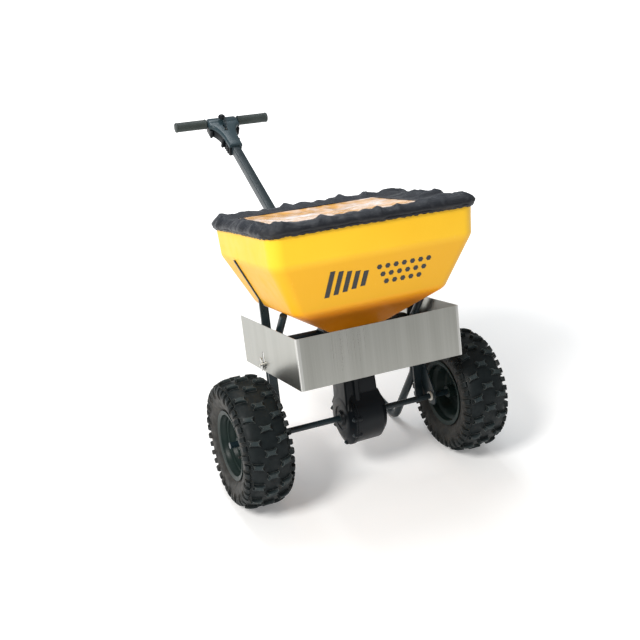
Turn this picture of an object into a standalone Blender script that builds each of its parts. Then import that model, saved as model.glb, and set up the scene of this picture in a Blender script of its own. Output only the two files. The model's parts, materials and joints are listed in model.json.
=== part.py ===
"""Walk-behind broadcast salt spreader, parked on its two wheels and its bent stand.

Lengths are metres. The machine is drawn level, with X along the axle, Y to the rear and
Z up from the ground line under the wheels. The parked machine leans back about the axle,
so the level drawing hangs from an empty at the axle that carries the lean.
"""
import math

import bmesh
import bpy
from mathutils import Matrix, Vector

# ---- driving dimensions -------------------------------------------------------------
GAP = 0.0003                  # clearance between pieces that touch
LEAN = math.radians(15.9)     # how far the parked machine leans back about its axle
MIDDLE_Y = -0.4308            # puts the middle of the whole machine's length at Y = 0

WHEEL_R = 0.165               # 13 inch tyre
TYRE_HALF_W = 0.0617
WHEEL_X = 0.3034              # half the track
WHEEL_FACETS = 40
RIM_R = 0.0885
RIM_HALF_W = 0.0525
AXLE_R = 0.0079

HOPPER_WALL = 0.004
HOPPER_Y = -0.0222            # middle of the hopper's rim
FLOOR_Z, FLOOR_HALF_X = 0.400, 0.0637
FLOOR_FRONT, FLOOR_BACK = -0.0490, 0.0400
CREASE_Z, CREASE_HALF_X, CREASE_HALF_Y = 0.487, 0.2043, 0.1442
SHOULDER_Z, SHOULDER_HALF_X, SHOULDER_HALF_Y = 0.615, 0.2652, 0.1961
RIM_Z, RIM_HALF_X, RIM_HALF_Y = 0.681, 0.2682, 0.2010
LIP_Z, LIP_PROUD = 0.702, 0.003
PORT_CLEARANCE = 0.0015       # round the impeller shaft, in the floor and base plate
PORT_FRONT, PORT_BACK = -0.038, -0.012
PORT_IN, PORT_OUT = 0.012, 0.042
GATE_TRAVEL = 0.028

COVER_TOP_Z = 0.7125
COVER_THICK = 0.006
COVER_PROUD = 0.0125
WINDOW_X = (-0.215, 0.165)
WINDOW_Y = (-0.160, 0.120)

TUBE_R = 0.011                # stand and cross tube
LEG_X = 0.2055
LEG_HALF_W = 0.011
LEG_HALF_T = 0.003
LEG_Y = 0.044
STAND_Y = 0.0603
CROSS_Z = 0.3827
CROSS_HALF = 0.170            # where the cross tube meets the stand tubes' elbows
KNEE_Z = 0.2255
FOOT_FRONT, FOOT_BACK = 0.164, 0.300   # along the ground, from the axle
DEFLECTOR_X = 0.2184
DEFLECTOR_FRONT, DEFLECTOR_BACK = -0.1834, 0.2001
DEFLECTOR_LOW, DEFLECTOR_HIGH = 0.3148, 0.4405
DEFLECTOR_T = 0.0012
CLAMP_Z = 0.3335
SLOT_LENGTH = 0.032

SHAFT_R = 0.006               # impeller shaft
IMPELLER_R = 0.115
IMPELLER_Z = 0.335
CASE_R = 0.072                # gearbox drum
CASE_WALL = 0.005
CASE_LEFT, CASE_SPLIT, CASE_RIGHT = -0.055, -0.036, 0.068
TOWER_TOP = 0.306
GEAR_TEETH = 32
PINION_TEETH = 8
GEAR_R = 0.050
GEAR_FACE_X = -0.0175
TOOTH_HEIGHT = 0.0045
TOOTH_TOP = 0.45              # width of a gear tooth's top, as a share of its foot

HANDLE_RISE = math.radians(36.1)
HANDLE_Z = 0.336              # height at which the handle's line passes over the axle
HANDLE_HALF = 0.0127          # 1 inch square tube
HANDLE_WALL = 0.0016
HANDLE_START, HANDLE_END = 0.1547, 0.930
BAR_U, BAR_N = 1.0135, 0.008  # handlebar: along the handle, and above its line
BAR_R = 0.0111
BAR_HALF = 0.1510
GRIP_R = 0.0147
HUB_HALF = 0.050

ROD_N = -0.0181               # control rod, below the handle's line
ROD_R = 0.0025
HUB_TOP_N = 0.0240
LEVER_U = 0.968
LEVER_X = -0.0045
LEVER_ARM = 0.036
KNOB_REACH = 0.038            # knob behind the lever's pin, along the handle
ROD_TRAVEL = GATE_TRAVEL / math.cos(HANDLE_RISE)
LEVER_HALF = math.asin(ROD_TRAVEL / 2 / LEVER_ARM)
LEVER_N = ROD_N + LEVER_ARM * (1 + math.cos(LEVER_HALF)) / 2
EYE_Y = 0.082

COLOURS = {                   # base colour, roughness, metallic
    "yellow_poly": ((0.86, 0.53, 0.03), 0.42, 0.0),
    "black_steel": ((0.025, 0.032, 0.035), 0.38, 0.3),
    "black_plastic": ((0.022, 0.025, 0.027), 0.45, 0.0),
    "grip_rubber": ((0.02, 0.03, 0.028), 0.7, 0.0),
    "tyre_rubber": ((0.03, 0.032, 0.033), 0.85, 0.0),
    "rim_paint": ((0.03, 0.045, 0.043), 0.35, 0.2),
    "stainless": ((0.50, 0.50, 0.47), 0.33, 1.0),
    "zinc": ((0.62, 0.62, 0.60), 0.35, 1.0),
    "nylon": ((0.75, 0.73, 0.66), 0.5, 0.0),
    "cover_fabric": ((0.03, 0.031, 0.038), 0.8, 0.0),
    "clear_vinyl": ((0.85, 0.78, 0.70), 0.15, 0.0),
}


# ---- scene and helpers ----------------------------------------------------------------
for old in list(bpy.data.objects):
    bpy.data.objects.remove(old, do_unlink=True)

parts = bpy.data.collections.new("salt_spreader")
cutters = bpy.data.collections.new("cutters")
for collection in (parts, cutters):
    bpy.context.scene.collection.children.link(collection)


def material(slot):
    """The slot's Principled material, made the first time it is asked for."""
    if slot in bpy.data.materials:
        return bpy.data.materials[slot]
    colour, roughness, metallic = COLOURS[slot]
    made = bpy.data.materials.new(slot)
    made.use_nodes = True
    shader = made.node_tree.nodes["Principled BSDF"]
    shader.inputs["Base Color"].default_value = (*colour, 1.0)
    shader.inputs["Roughness"].default_value = roughness
    shader.inputs["Metallic"].default_value = metallic
    return made


def empty(name, place, parent=None, turn=(0, 0, 0)):
    """A frame to hang pieces from."""
    made = bpy.data.objects.new(name, None)
    made.empty_display_size = 0.05
    parts.objects.link(made)
    made.parent = parent
    made.location = place
    made.rotation_euler = turn
    return made


def add(name, data, slot, parent, place=(0, 0, 0), turn=(0, 0, 0)):
    """Link a named piece, or a cutter when it has no material slot."""
    made = bpy.data.objects.new(name, data)
    if slot:
        data.materials.append(material(slot))
        parts.objects.link(made)
    else:
        cutters.objects.link(made)
        made.hide_render = True
        made.display_type = "WIRE"
    made.parent = parent
    made.location = place
    made.rotation_euler = turn
    return made


def smooth(data, angle=35):
    data.shade_smooth()
    data.set_sharp_from_angle(angle=math.radians(angle))
    return data


def box(name, low, high, slot, parent):
    """A box between two corners, with its origin at its middle."""
    low, high = Vector(low), Vector(high)
    mesh = bmesh.new()
    bmesh.ops.create_cube(mesh, size=1.0, matrix=Matrix.Diagonal((*(high - low), 1.0)))
    data = bpy.data.meshes.new(name)
    mesh.to_mesh(data)
    mesh.free()
    return add(name, data, slot, parent, (low + high) / 2)


def round_edges(target, width, angle):
    """Round every edge that is sharper than an angle in degrees."""
    bevel = target.modifiers.new("rounded_edges", "BEVEL")
    bevel.width = width
    bevel.segments = 2
    bevel.limit_method = "ANGLE"
    bevel.angle_limit = math.radians(angle)


def cylinder(name, radius, start, end, slot, parent, sides=20):
    """A round bar between two points."""
    start, end = Vector(start), Vector(end)
    mesh = bmesh.new()
    bmesh.ops.create_cone(mesh, cap_ends=True, segments=sides, radius1=radius, radius2=radius,
                          depth=(end - start).length)
    data = bpy.data.meshes.new(name)
    mesh.to_mesh(data)
    mesh.free()
    smooth(data)
    turn = Vector((0, 0, 1)).rotation_difference(end - start).to_euler()
    return add(name, data, slot, parent, (start + end) / 2, turn)


def turned(name, profile, slot, parent, place, turn=(0, 0, 0), steps=24):
    """A profile of (radius, height) points, closed on itself and turned about Z."""
    data = bpy.data.meshes.new(name)
    count = len(profile)
    data.from_pydata([(r, 0, z) for r, z in profile], [(i, (i + 1) % count) for i in range(count)], [])
    made = add(name, data, slot, parent, place, turn)
    screw = made.modifiers.new("turned", "SCREW")
    screw.steps = steps
    screw.render_steps = steps
    screw.use_merge_vertices = True
    screw.merge_threshold = 0.00001
    return made


def ring_profile(inner, outer, low, high):
    return [(outer, high), (outer, low), (inner, low), (inner, high)]


def plate(name, outlines, thickness, slot, parent, place=(0, 0, 0), turn=(0, 0, 0)):
    """A flat sheet from closed outlines: the first is its edge and the others are holes."""
    data = bpy.data.curves.new(name, "CURVE")
    data.dimensions = "2D"
    data.fill_mode = "BOTH"
    data.extrude = thickness / 2
    for outline in outlines:
        spline = data.splines.new("POLY")
        spline.points.add(len(outline) - 1)
        for point, (x, y) in zip(spline.points, outline):
            point.co = (x, y, 0, 1)
        spline.use_cyclic_u = True
    return add(name, data, slot, parent, place, turn)


def circle(radius, centre=(0, 0), sides=20):
    angles = [2 * math.pi * (i + 0.5) / sides for i in range(sides)]
    return [(centre[0] + radius * math.cos(a), centre[1] + radius * math.sin(a)) for a in angles]


def rounded_path(points, radius, steps=5):
    """The points joined by straight runs, with an arc of the given radius at each corner."""
    points = [Vector(p) for p in points]
    path = [points[0]]
    for before, corner, after in zip(points, points[1:], points[2:]):
        back = (before - corner).normalized()
        ahead = (after - corner).normalized()
        half = back.angle(ahead) / 2
        reach = radius / math.tan(half)
        centre = corner + (back + ahead).normalized() * radius / math.sin(half)
        first, last = corner + back * reach, corner + ahead * reach
        for i in range(steps + 1):
            arm = (first - centre).normalized().slerp((last - centre).normalized(), i / steps)
            path.append(centre + arm * radius)
    path.append(points[-1])
    return path


def tube(name, path, radius, slot, parent, resolution=2):
    """A round tube along a path of points."""
    data = bpy.data.curves.new(name, "CURVE")
    data.dimensions = "3D"
    data.bevel_depth = radius
    data.bevel_resolution = resolution
    data.use_fill_caps = True
    spline = data.splines.new("POLY")
    spline.points.add(len(path) - 1)
    for point, place in zip(spline.points, path):
        point.co = (*place, 1)
    return add(name, data, slot, parent)


def as_mesh(source):
    """Replace a curve object by the mesh it makes, so that it can be cut."""
    bpy.context.view_layer.update()
    evaluated = source.evaluated_get(bpy.context.evaluated_depsgraph_get())
    data = bpy.data.meshes.new_from_object(evaluated)
    mesh = bmesh.new()
    mesh.from_mesh(data)
    bmesh.ops.remove_doubles(mesh, verts=mesh.verts, dist=0.00001)
    mesh.to_mesh(data)
    mesh.free()
    name, parent = source.name, source.parent
    collection = source.users_collection[0]
    world = source.matrix_world.copy()
    bpy.data.objects.remove(source, do_unlink=True)
    made = bpy.data.objects.new(name, data)
    collection.objects.link(made)
    made.parent = parent
    made.matrix_world = world
    if collection == cutters:
        made.hide_render = True
        made.display_type = "WIRE"
    return made


def boolean(target, tool, operation="DIFFERENCE"):
    change = target.modifiers.new(operation.lower(), "BOOLEAN")
    change.operation = operation
    change.object = tool
    return target


def drill(target, radius, start, end, parent):
    """A round hole between two points."""
    hole = cylinder(target.name + "_hole", radius, start, end, None, parent, sides=16)
    return boolean(target, hole)


def rounded_rectangle(half_x, front, back, radius, corner_steps=4):
    """Points round a rectangle with round corners, anticlockwise from above."""
    corners = ((1, front, -90), (1, back, 0), (-1, back, 90), (-1, front, 180))
    points = []
    for side, edge, start in corners:
        inward = 1 if edge == front else -1
        centre = (side * (half_x - radius), edge + inward * radius)
        for i in range(corner_steps + 1):
            angle = math.radians(start + 90 * i / corner_steps)
            points.append((centre[0] + radius * math.cos(angle), centre[1] + radius * math.sin(angle)))
    return points


def loft(name, rings, thickness, slot, parent, close_bottom=False):
    """A skin through rings of equal point counts, given from the bottom up, made solid inwards."""
    mesh = bmesh.new()
    rows = [[mesh.verts.new(p) for p in ring] for ring in rings]
    count = len(rows[0])
    for low, high in zip(rows, rows[1:]):
        for i in range(count):
            j = (i + 1) % count
            mesh.faces.new((low[i], low[j], high[j], high[i]))
    if close_bottom:
        mesh.faces.new(list(reversed(rows[0])))
    data = bpy.data.meshes.new(name)
    mesh.to_mesh(data)
    mesh.free()
    smooth(data, 40)
    made = add(name, data, slot, parent)
    wall = made.modifiers.new("wall", "SOLIDIFY")
    wall.thickness = thickness
    wall.offset = -1
    wall.use_even_offset = True
    return made


def mirrored(x):
    """The two sides of the machine, as (name ending, signed X)."""
    return (("left", -x), ("right", x))


# ---- frames -----------------------------------------------------------------------------
machine = empty("spreader", (0, MIDDLE_Y, 0))
wheel_line = empty("wheel_line", (0, 0, WHEEL_R), machine)
axle_line = empty("axle_line", (0, 0, WHEEL_R), machine, (-LEAN, 0, 0))
level = empty("level_drawing", (0, 0, -WHEEL_R), axle_line)
shaft_line = empty("impeller_shaft_line", (0, 0, 0), level)
handle_line = empty("handle_line", (0, 0, HANDLE_Z), level, (HANDLE_RISE, 0, 0))
lever_line = empty("lever_pivot_line", (0, LEVER_U, LEVER_N), handle_line)
SIDE_VIEW = (math.pi / 2, 0, math.pi / 2)   # drawing plane X, Y becomes the machine's Y, Z


def from_ground(along, height):
    """Level-drawing Y and Z of a point given along and above the real ground."""
    rise = height - WHEEL_R
    y = along * math.cos(LEAN) - rise * math.sin(LEAN)
    z = WHEEL_R + along * math.sin(LEAN) + rise * math.cos(LEAN)
    return y, z


# ---- hopper -------------------------------------------------------------------------------
def hopper_ring(half_x, half_y, z, radius):
    """Level ring of points about the middle of the hopper's rim."""
    outline = rounded_rectangle(half_x, HOPPER_Y - half_y, HOPPER_Y + half_y, radius)
    return [(x, y, z) for x, y in outline]


def build_hopper():
    """Moulded poly tub: sloping funnel, flared walls, upright band and a rolled lip."""
    floor = rounded_rectangle(FLOOR_HALF_X, FLOOR_FRONT, FLOOR_BACK, 0.012)
    lip_half_x, lip_half_y = RIM_HALF_X + LIP_PROUD, RIM_HALF_Y + LIP_PROUD
    rings = [
        [(x, y, FLOOR_Z) for x, y in floor],
        hopper_ring(CREASE_HALF_X, CREASE_HALF_Y, CREASE_Z, 0.030),
        hopper_ring(SHOULDER_HALF_X, SHOULDER_HALF_Y, SHOULDER_Z, 0.040),
        hopper_ring(RIM_HALF_X, RIM_HALF_Y, RIM_Z, 0.040),
        hopper_ring(lip_half_x, lip_half_y, RIM_Z + 0.008, 0.042),
        hopper_ring(lip_half_x, lip_half_y, LIP_Z, 0.042),
    ]
    hopper = loft("hopper", rings, HOPPER_WALL, "yellow_poly", level, close_bottom=True)
    for side, x in mirrored(1):
        low_x, high_x = sorted((x * PORT_IN, x * PORT_OUT))
        port = box("port_" + side, (low_x, PORT_FRONT, FLOOR_Z - 0.01),
                   (high_x, PORT_BACK, FLOOR_Z + 0.01), None, level)
        boolean(hopper, port)
    drill(hopper, SHAFT_R + PORT_CLEARANCE, (0, 0, FLOOR_Z - 0.01), (0, 0, FLOOR_Z + 0.01), level)


def build_cover():
    """Elastic-hemmed cover that hangs over the lip, with an open frame for the clear window."""
    window_half = (WINDOW_X[1] - WINDOW_X[0]) / 2
    window_middle = (WINDOW_X[1] + WINDOW_X[0]) / 2

    def skirt(extra, z):
        return hopper_ring(RIM_HALF_X + extra, RIM_HALF_Y + extra, z, 0.046)

    opening = rounded_rectangle(window_half, WINDOW_Y[0], WINDOW_Y[1], 0.012)
    top = [(x + window_middle, y, COVER_TOP_Z) for x, y in opening]
    rings = [skirt(COVER_PROUD - 0.001, RIM_Z - 0.003), skirt(COVER_PROUD, COVER_TOP_Z - 0.014),
             skirt(COVER_PROUD - 0.004, COVER_TOP_Z - 0.003), skirt(0.002, COVER_TOP_Z), top]
    loft("cover", rings, COVER_THICK, "cover_fabric", level)
    inset = 0.001
    pane = rounded_rectangle(window_half - inset, WINDOW_Y[0] + inset, WINDOW_Y[1] - inset, 0.011)
    pane = [(x + window_middle, y) for x, y in pane]
    plate("cover_window", [pane], 0.0015, "clear_vinyl", level, (0, 0, COVER_TOP_Z - 0.003))


# ---- frame ----------------------------------------------------------------------------------
def build_legs():
    """Flat bars on edge: up from the axle, then thin straps along the hopper's side walls."""
    flare = (SHOULDER_HALF_X - CREASE_HALF_X) / (SHOULDER_Z - CREASE_Z)
    strap_top = SHOULDER_Z - 0.003

    def wall_x(z):
        return CREASE_HALF_X + (z - CREASE_Z) * flare + GAP * 2

    inner, outer = LEG_X - LEG_HALF_W, LEG_X + LEG_HALF_W
    strap = 0.004
    join_z = CREASE_Z + (outer - CREASE_HALF_X) / flare - strap
    funnel_slope = (CREASE_Z - FLOOR_Z) / (CREASE_HALF_X - FLOOR_HALF_X)
    inner_top = CREASE_Z - (CREASE_HALF_X - inner) * funnel_slope
    for side, sign in mirrored(1):
        outline = [(inner, 0.150), (outer, 0.150), (outer, join_z - 0.004),
                   (wall_x(strap_top) + strap, strap_top), (wall_x(strap_top), strap_top),
                   (wall_x(CREASE_Z), CREASE_Z), (inner, inner_top - GAP * 3)]
        outline = [(sign * x, z) for x, z in outline]
        if sign < 0:
            outline.reverse()
        plate("leg_" + side, [outline], 2 * LEG_HALF_T, "black_steel", level, (0, LEG_Y, 0),
              (math.pi / 2, 0, 0))


def build_braces():
    """Round struts from the legs forward and up to the hopper's lower crease."""
    for side, x in mirrored(0.196):
        path = [(x, LEG_Y - LEG_HALF_T - 0.0080, 0.3700), (x, -0.0590, 0.4700)]
        tube("brace_" + side, path, 0.0095, "black_steel", level, 3)


def build_stand():
    """Bent stand tubes: down behind each leg, back to the ground, and along it as feet."""
    front_foot = from_ground(FOOT_FRONT, TUBE_R)
    back_foot = from_ground(FOOT_BACK, TUBE_R)
    for side, x in mirrored(LEG_X):
        sign = math.copysign(1, x)
        elbow = rounded_path([(sign * CROSS_HALF, STAND_Y, CROSS_Z), (x, STAND_Y, CROSS_Z),
                              (x, STAND_Y, KNEE_Z + 0.06)], 0.026, 4)
        knee = rounded_path([(x, STAND_Y, KNEE_Z + 0.06), (x, STAND_Y, KNEE_Z), (x, *front_foot),
                             (x, *back_foot)], 0.034, 5)
        stand = as_mesh(tube("stand_tube_" + side, elbow[:-1] + knee[1:], TUBE_R, "black_steel",
                             level, 2))
        drill(stand, 0.0034, (x - 0.02, STAND_Y, CLAMP_Z), (x + 0.02, STAND_Y, CLAMP_Z), level)
        along = Vector((0, back_foot[0] - front_foot[0], back_foot[1] - front_foot[1])).normalized()
        plug_start = Vector((x, *back_foot)) + along * GAP
        cylinder("foot_plug_" + side, TUBE_R - 0.0008, plug_start, plug_start + along * 0.004,
                 "black_plastic", level, 16)
    half = CROSS_HALF - GAP
    tube("cross_tube", [(-half, STAND_Y, CROSS_Z), (half, STAND_Y, CROSS_Z)], TUBE_R, "black_steel",
         level, 3)


def build_axle_brackets():
    """Side plates that carry the axle's bushings."""
    inside = LEG_X + LEG_HALF_W + GAP
    outline = [(-0.014, 0.143), (0.010, 0.143), (0.072, 0.215), (0.072, 0.272), (0.034, 0.272),
               (-0.022, 0.180), (-0.022, 0.152)]
    for side, sign in mirrored(1):
        middle = sign * (inside + 0.002)
        plate("axle_bracket_" + side, [outline, circle(0.0125, (0, WHEEL_R))], 0.004, "black_steel",
              level, (middle, 0, 0), SIDE_VIEW)
        profile = [(0.0165, 0.0055), (0.0165, 0.0024), (0.0122, 0.0024), (0.0122, -0.0060),
                   (AXLE_R + GAP, -0.0060), (AXLE_R + GAP, 0.0055)]
        turned("axle_bushing_" + side, profile, "nylon", level, (middle, 0, WHEEL_R),
               (0, sign * math.pi / 2, 0), 20)


def build_crossbar():
    """Flat bar between the legs, under the impeller, that the gearbox hangs from."""
    half = LEG_X - LEG_HALF_W - GAP
    outline = [(-half, -0.018), (half, -0.018), (half, 0.047), (-half, 0.047)]
    plate("gearbox_crossbar", [outline, circle(0.0145)], 0.004, "black_steel", level,
          (0, 0, TOWER_TOP + GAP + 0.002))


def build_base_plate():
    """Plate under the hopper that rests on the cross tube and guides the gate."""
    edge = rounded_rectangle(0.067, -0.053, 0.0620, 0.008, 2)
    holes = [circle(SHAFT_R + PORT_CLEARANCE)]
    for sign in (-1, 1):
        xs = sorted((sign * PORT_IN, sign * PORT_OUT))
        holes.append([(xs[0], PORT_FRONT), (xs[1], PORT_FRONT), (xs[1], PORT_BACK), (xs[0], PORT_BACK)])
    plate("hopper_base_plate", [edge] + holes, 0.003, "black_steel", level, (0, 0, 0.3955))


def build_clamps():
    """Bolts through the stand tubes, and the wing nuts that lock the deflector's height."""
    for side, sign in mirrored(1):
        inside = LEG_X - TUBE_R - 0.0008
        bolt = cylinder("deflector_bolt_" + side, 0.0030, (sign * inside, STAND_Y, CLAMP_Z),
                        (sign * (inside + 0.0375), STAND_Y, CLAMP_Z), "zinc", level, 16)
        cap = cylinder("bolt_head_" + side, 0.0065, (sign * (inside - 0.004), STAND_Y, CLAMP_Z),
                       (sign * (inside + 0.0004), STAND_Y, CLAMP_Z), None, level, 6)
        boolean(bolt, cap, "UNION")
        start = DEFLECTOR_X + GAP
        nut = cylinder("wing_nut_" + side, 0.0065, (sign * start, STAND_Y, CLAMP_Z),
                       (sign * (start + 0.007), STAND_Y, CLAMP_Z), "zinc", level, 16)
        wing = plate("wings_" + side, [[(-0.004, -0.0025), (0.004, -0.0025), (0.012, 0.001),
                                        (0.018, 0.009), (0.013, 0.013), (0.006, 0.006), (-0.006, 0.006),
                                        (-0.013, 0.013), (-0.018, 0.009), (-0.012, 0.001)]],
                     0.003, None, level, (sign * (start + 0.004), STAND_Y, CLAMP_Z),
                     (0, sign * math.pi / 2, 0))
        boolean(nut, as_mesh(wing), "UNION")
        drill(nut, 0.0033, (sign * (start - 0.01), STAND_Y, CLAMP_Z),
              (sign * (start + 0.03), STAND_Y, CLAMP_Z), level)


# ---- gearbox ------------------------------------------------------------------------------------
def build_gearbox_half(name, start, end):
    """Half of the gearbox: drum and tower in one casting, open where the halves meet."""
    case = cylinder(name, CASE_R, (start, 0, WHEEL_R), (end, 0, WHEEL_R), "black_plastic", level, 28)
    round_edges(case, 0.006, 60)
    tower_end = min(end, 0.050)
    tower = box(name + "_tower", (max(start, -0.050), -0.044, WHEEL_R + 0.02),
                (tower_end, 0.044, TOWER_TOP), None, level)
    boolean(case, tower, "UNION")
    hollow_start = start + CASE_WALL if start == CASE_LEFT else start - 0.01
    hollow_end = end - CASE_WALL if end == CASE_RIGHT else end + 0.01
    hollow = cylinder(name + "_hollow", CASE_R - CASE_WALL, (hollow_start, 0, WHEEL_R),
                      (hollow_end, 0, WHEEL_R), None, level, 28)
    boolean(case, hollow)
    drill(case, AXLE_R + 0.0008, (-0.08, 0, WHEEL_R), (0.09, 0, WHEEL_R), level)
    return case


def build_gearbox():
    build_gearbox_half("gearbox_cap", CASE_LEFT, CASE_SPLIT - GAP)
    body = build_gearbox_half("gearbox_body", CASE_SPLIT, CASE_RIGHT)
    drill(body, 0.0120, (0, 0, WHEEL_R + 0.04), (0, 0, TOWER_TOP + 0.02), level)
    turned("shaft_bushing", ring_profile(SHAFT_R + GAP, 0.0117, TOWER_TOP - 0.018, TOWER_TOP + 0.006),
           "nylon", level, (0, 0, 0), steps=20)


# ---- handle ---------------------------------------------------------------------------------------
def build_handle():
    """Square shaft bolted between two gussets, with a moulded hub and a handlebar."""
    half, hollow = HANDLE_HALF, HANDLE_HALF - HANDLE_WALL
    square = [(-half, -half), (half, -half), (half, half), (-half, half)]
    bore = [(-hollow, -hollow), (hollow, -hollow), (hollow, hollow), (-hollow, hollow)]
    shaft = as_mesh(plate("handle_tube", [square, bore], HANDLE_END - HANDLE_START, "black_steel",
                          handle_line, (0, (HANDLE_START + HANDLE_END) / 2, 0), (-math.pi / 2, 0, 0)))
    rise = Vector((math.cos(HANDLE_RISE), math.sin(HANDLE_RISE)))
    up = Vector((-rise.y, rise.x))
    tail = Vector((0, HANDLE_Z)) + rise * 0.240
    outline = [(STAND_Y + TUBE_R + GAP, 0.3725), (0.098, 0.3725), (0.130, 0.4090),
               tuple(tail - up * 0.0105), tuple(tail + up * 0.0105), (0.116, 0.4360), (0.098, 0.4230),
               (STAND_Y + TUBE_R + GAP, 0.3925)]
    gussets = []
    for side, sign in mirrored(1):
        gussets.append(as_mesh(plate("handle_gusset_" + side, [outline], 0.003, "black_steel", level,
                                     (sign * (HANDLE_HALF + GAP + 0.0015), 0, 0), SIDE_VIEW)))
    for number, u in enumerate((0.178, 0.222), 1):
        start, end = (-0.0205, u, 0), (0.0205, u, 0)
        for target in gussets + [shaft]:
            drill(target, 0.0043, (-0.03, u, 0), (0.03, u, 0), handle_line)
        cylinder("handle_bolt_%d" % number, 0.0040, start, end, "zinc", handle_line, 16)


def hub_outline():
    """Half round the hub: a straight socket that flares out to the crossbar."""
    flare = []
    for i in range(7):
        angle = math.pi / 2 * i / 6
        flare.append((0.023 + (HUB_HALF - 0.023) * (1 - math.cos(angle)), 0.918 + 0.066 * math.sin(angle)))
    right = [(0.022, 0.878)] + flare + [(HUB_HALF, 1.025), (HUB_HALF - 0.005, 1.030)]
    return right + [(-x, u) for x, u in reversed(right)]


def build_hub_shell(name, low, high):
    """One shell of the hub, with channels for the bar, the shaft, the rod and the lever."""
    shell = as_mesh(plate(name, [hub_outline()], high - low, "black_plastic", handle_line,
                          (0, 0, (low + high) / 2)))
    boolean(shell, cylinder(name + "_bar_channel", BAR_R + GAP, (-0.08, BAR_U, BAR_N),
                            (0.08, BAR_U, BAR_N), None, handle_line, 24))
    socket = HANDLE_HALF + GAP
    boolean(shell, box(name + "_shaft_channel", (-socket, 0.86, -socket), (socket, HANDLE_END + GAP, socket),
                       None, handle_line))
    return shell


def build_hub():
    top = build_hub_shell("handle_hub_top", BAR_N + GAP / 2, HUB_TOP_N)
    boolean(top, box("lever_well", (-0.0095, LEVER_U - 0.027, -0.03), (0.0095, LEVER_U + 0.027, 0.0205),
                     None, handle_line))
    boolean(top, box("lever_slot", (-0.0095, LEVER_U - 0.0155, 0.01), (0.0005, LEVER_U + 0.0155, 0.04),
                     None, handle_line))
    drill(top, 0.0033, (-0.030, LEVER_U, LEVER_N), (0.030, LEVER_U, LEVER_N), handle_line)
    bottom = build_hub_shell("handle_hub_bottom", -0.0215, BAR_N - GAP / 2)
    boolean(bottom, box("lever_pit", (-0.0095, LEVER_U - 0.029, -0.04), (0.0095, LEVER_U + 0.027, 0.03),
                        None, handle_line))
    boolean(bottom, box("rod_groove", (-0.0045, 0.86, -0.04), (0.0045, LEVER_U, -0.010), None, handle_line))
    cylinder("handle_bar", BAR_R, (-BAR_HALF, BAR_U, BAR_N), (BAR_HALF, BAR_U, BAR_N), "black_steel",
             handle_line, 24)
    for side, sign in mirrored(1):
        outer_end, inner_end = BAR_HALF + 0.0031, HUB_HALF + 0.0030
        profile = [(GRIP_R, inner_end), (GRIP_R, outer_end - 0.003), (GRIP_R - 0.003, outer_end),
                   (0.002, outer_end), (0.002, BAR_HALF + GAP), (BAR_R + GAP, BAR_HALF + GAP),
                   (BAR_R + GAP, inner_end)]
        turned("grip_" + side, list(reversed(profile)), "grip_rubber", handle_line, (0, BAR_U, BAR_N),
               (0, sign * math.pi / 2, 0), 24)


def build_lever():
    """Flow lever: it rocks on a pin in the hub, and its lower arm pulls the control rod.

    Above the hub its thumb arm is bent back, and carries the knob over the handlebar.
    """
    tilt = LEVER_HALF
    shelf = HUB_TOP_N - LEVER_N + 0.0025
    pin = Vector((-math.sin(tilt), -math.cos(tilt))) * LEVER_ARM
    side = Vector((math.cos(tilt), -math.sin(tilt)))
    arm = pin.normalized()
    outline = [(0.0440, shelf), (0.0145, shelf), side * 0.0045 - arm * 0.0090, side * 0.0060,
               side * 0.0055 + pin + arm * 0.004, side * -0.0055 + pin + arm * 0.004, side * -0.0060,
               side * -0.0045 - arm * 0.0110, (0.0060, shelf + 0.0055), (0.0440, shelf + 0.0055)]
    outline = [tuple(point) for point in reversed(outline)]
    plate("control_lever", [outline, circle(0.0033), circle(0.0028, pin)], 0.004, "black_steel",
          lever_line, (LEVER_X, 0, 0), SIDE_VIEW)
    turned("lever_knob", [(0.0001, 0.0110), (0.0050, 0.0100), (0.0095, 0.0065), (0.0115, 0.0020),
                          (0.0105, 0.0000), (0.0001, 0.0000)], "black_plastic", lever_line,
           (LEVER_X, KNOB_REACH, shelf + 0.0058), steps=20)
    cylinder("lever_link_pin", 0.0025, (LEVER_X - 0.0040, *pin), (0.0040, *pin), "zinc", lever_line, 14)
    cylinder("lever_pivot_pin", 0.0030, (-0.0200, LEVER_U, LEVER_N), (0.0200, LEVER_U, LEVER_N), "zinc",
             handle_line, 14)


def build_control_rod():
    """Rod under the shaft: a slotted head on the lever's pin, and an eye on the gate's post."""
    rise = Vector((0, math.cos(HANDLE_RISE), math.sin(HANDLE_RISE)))
    up = Vector((0, -rise.z, rise.y))
    base = Vector((0, 0, HANDLE_Z)) + up * ROD_N
    eye = base + rise * (EYE_Y - base.y) / rise.y
    pin_u = LEVER_U - LEVER_ARM * math.sin(LEVER_HALF)
    rod = cylinder("control_rod", ROD_R, eye + rise * 0.0068, base + rise * (pin_u - 0.0060), "zinc",
                   level, 14)
    ring = turned("rod_eye", ring_profile(0.0036, 0.0075, -0.0025, 0.0025), None, level, eye, steps=18)
    boolean(rod, ring, "UNION")
    head = [(-0.0085, -0.0090), (0.0075, -0.0090), (0.0075, 0.0095), (-0.0085, 0.0095)]
    slot = [(-0.0032, -0.0058), (0.0032, -0.0058), (0.0032, 0.0062), (-0.0032, 0.0062)]
    head_plate = plate("rod_head", [head, slot], 0.0034, None, handle_line, (0, pin_u, ROD_N), SIDE_VIEW)
    boolean(rod, as_mesh(head_plate), "UNION")


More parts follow.
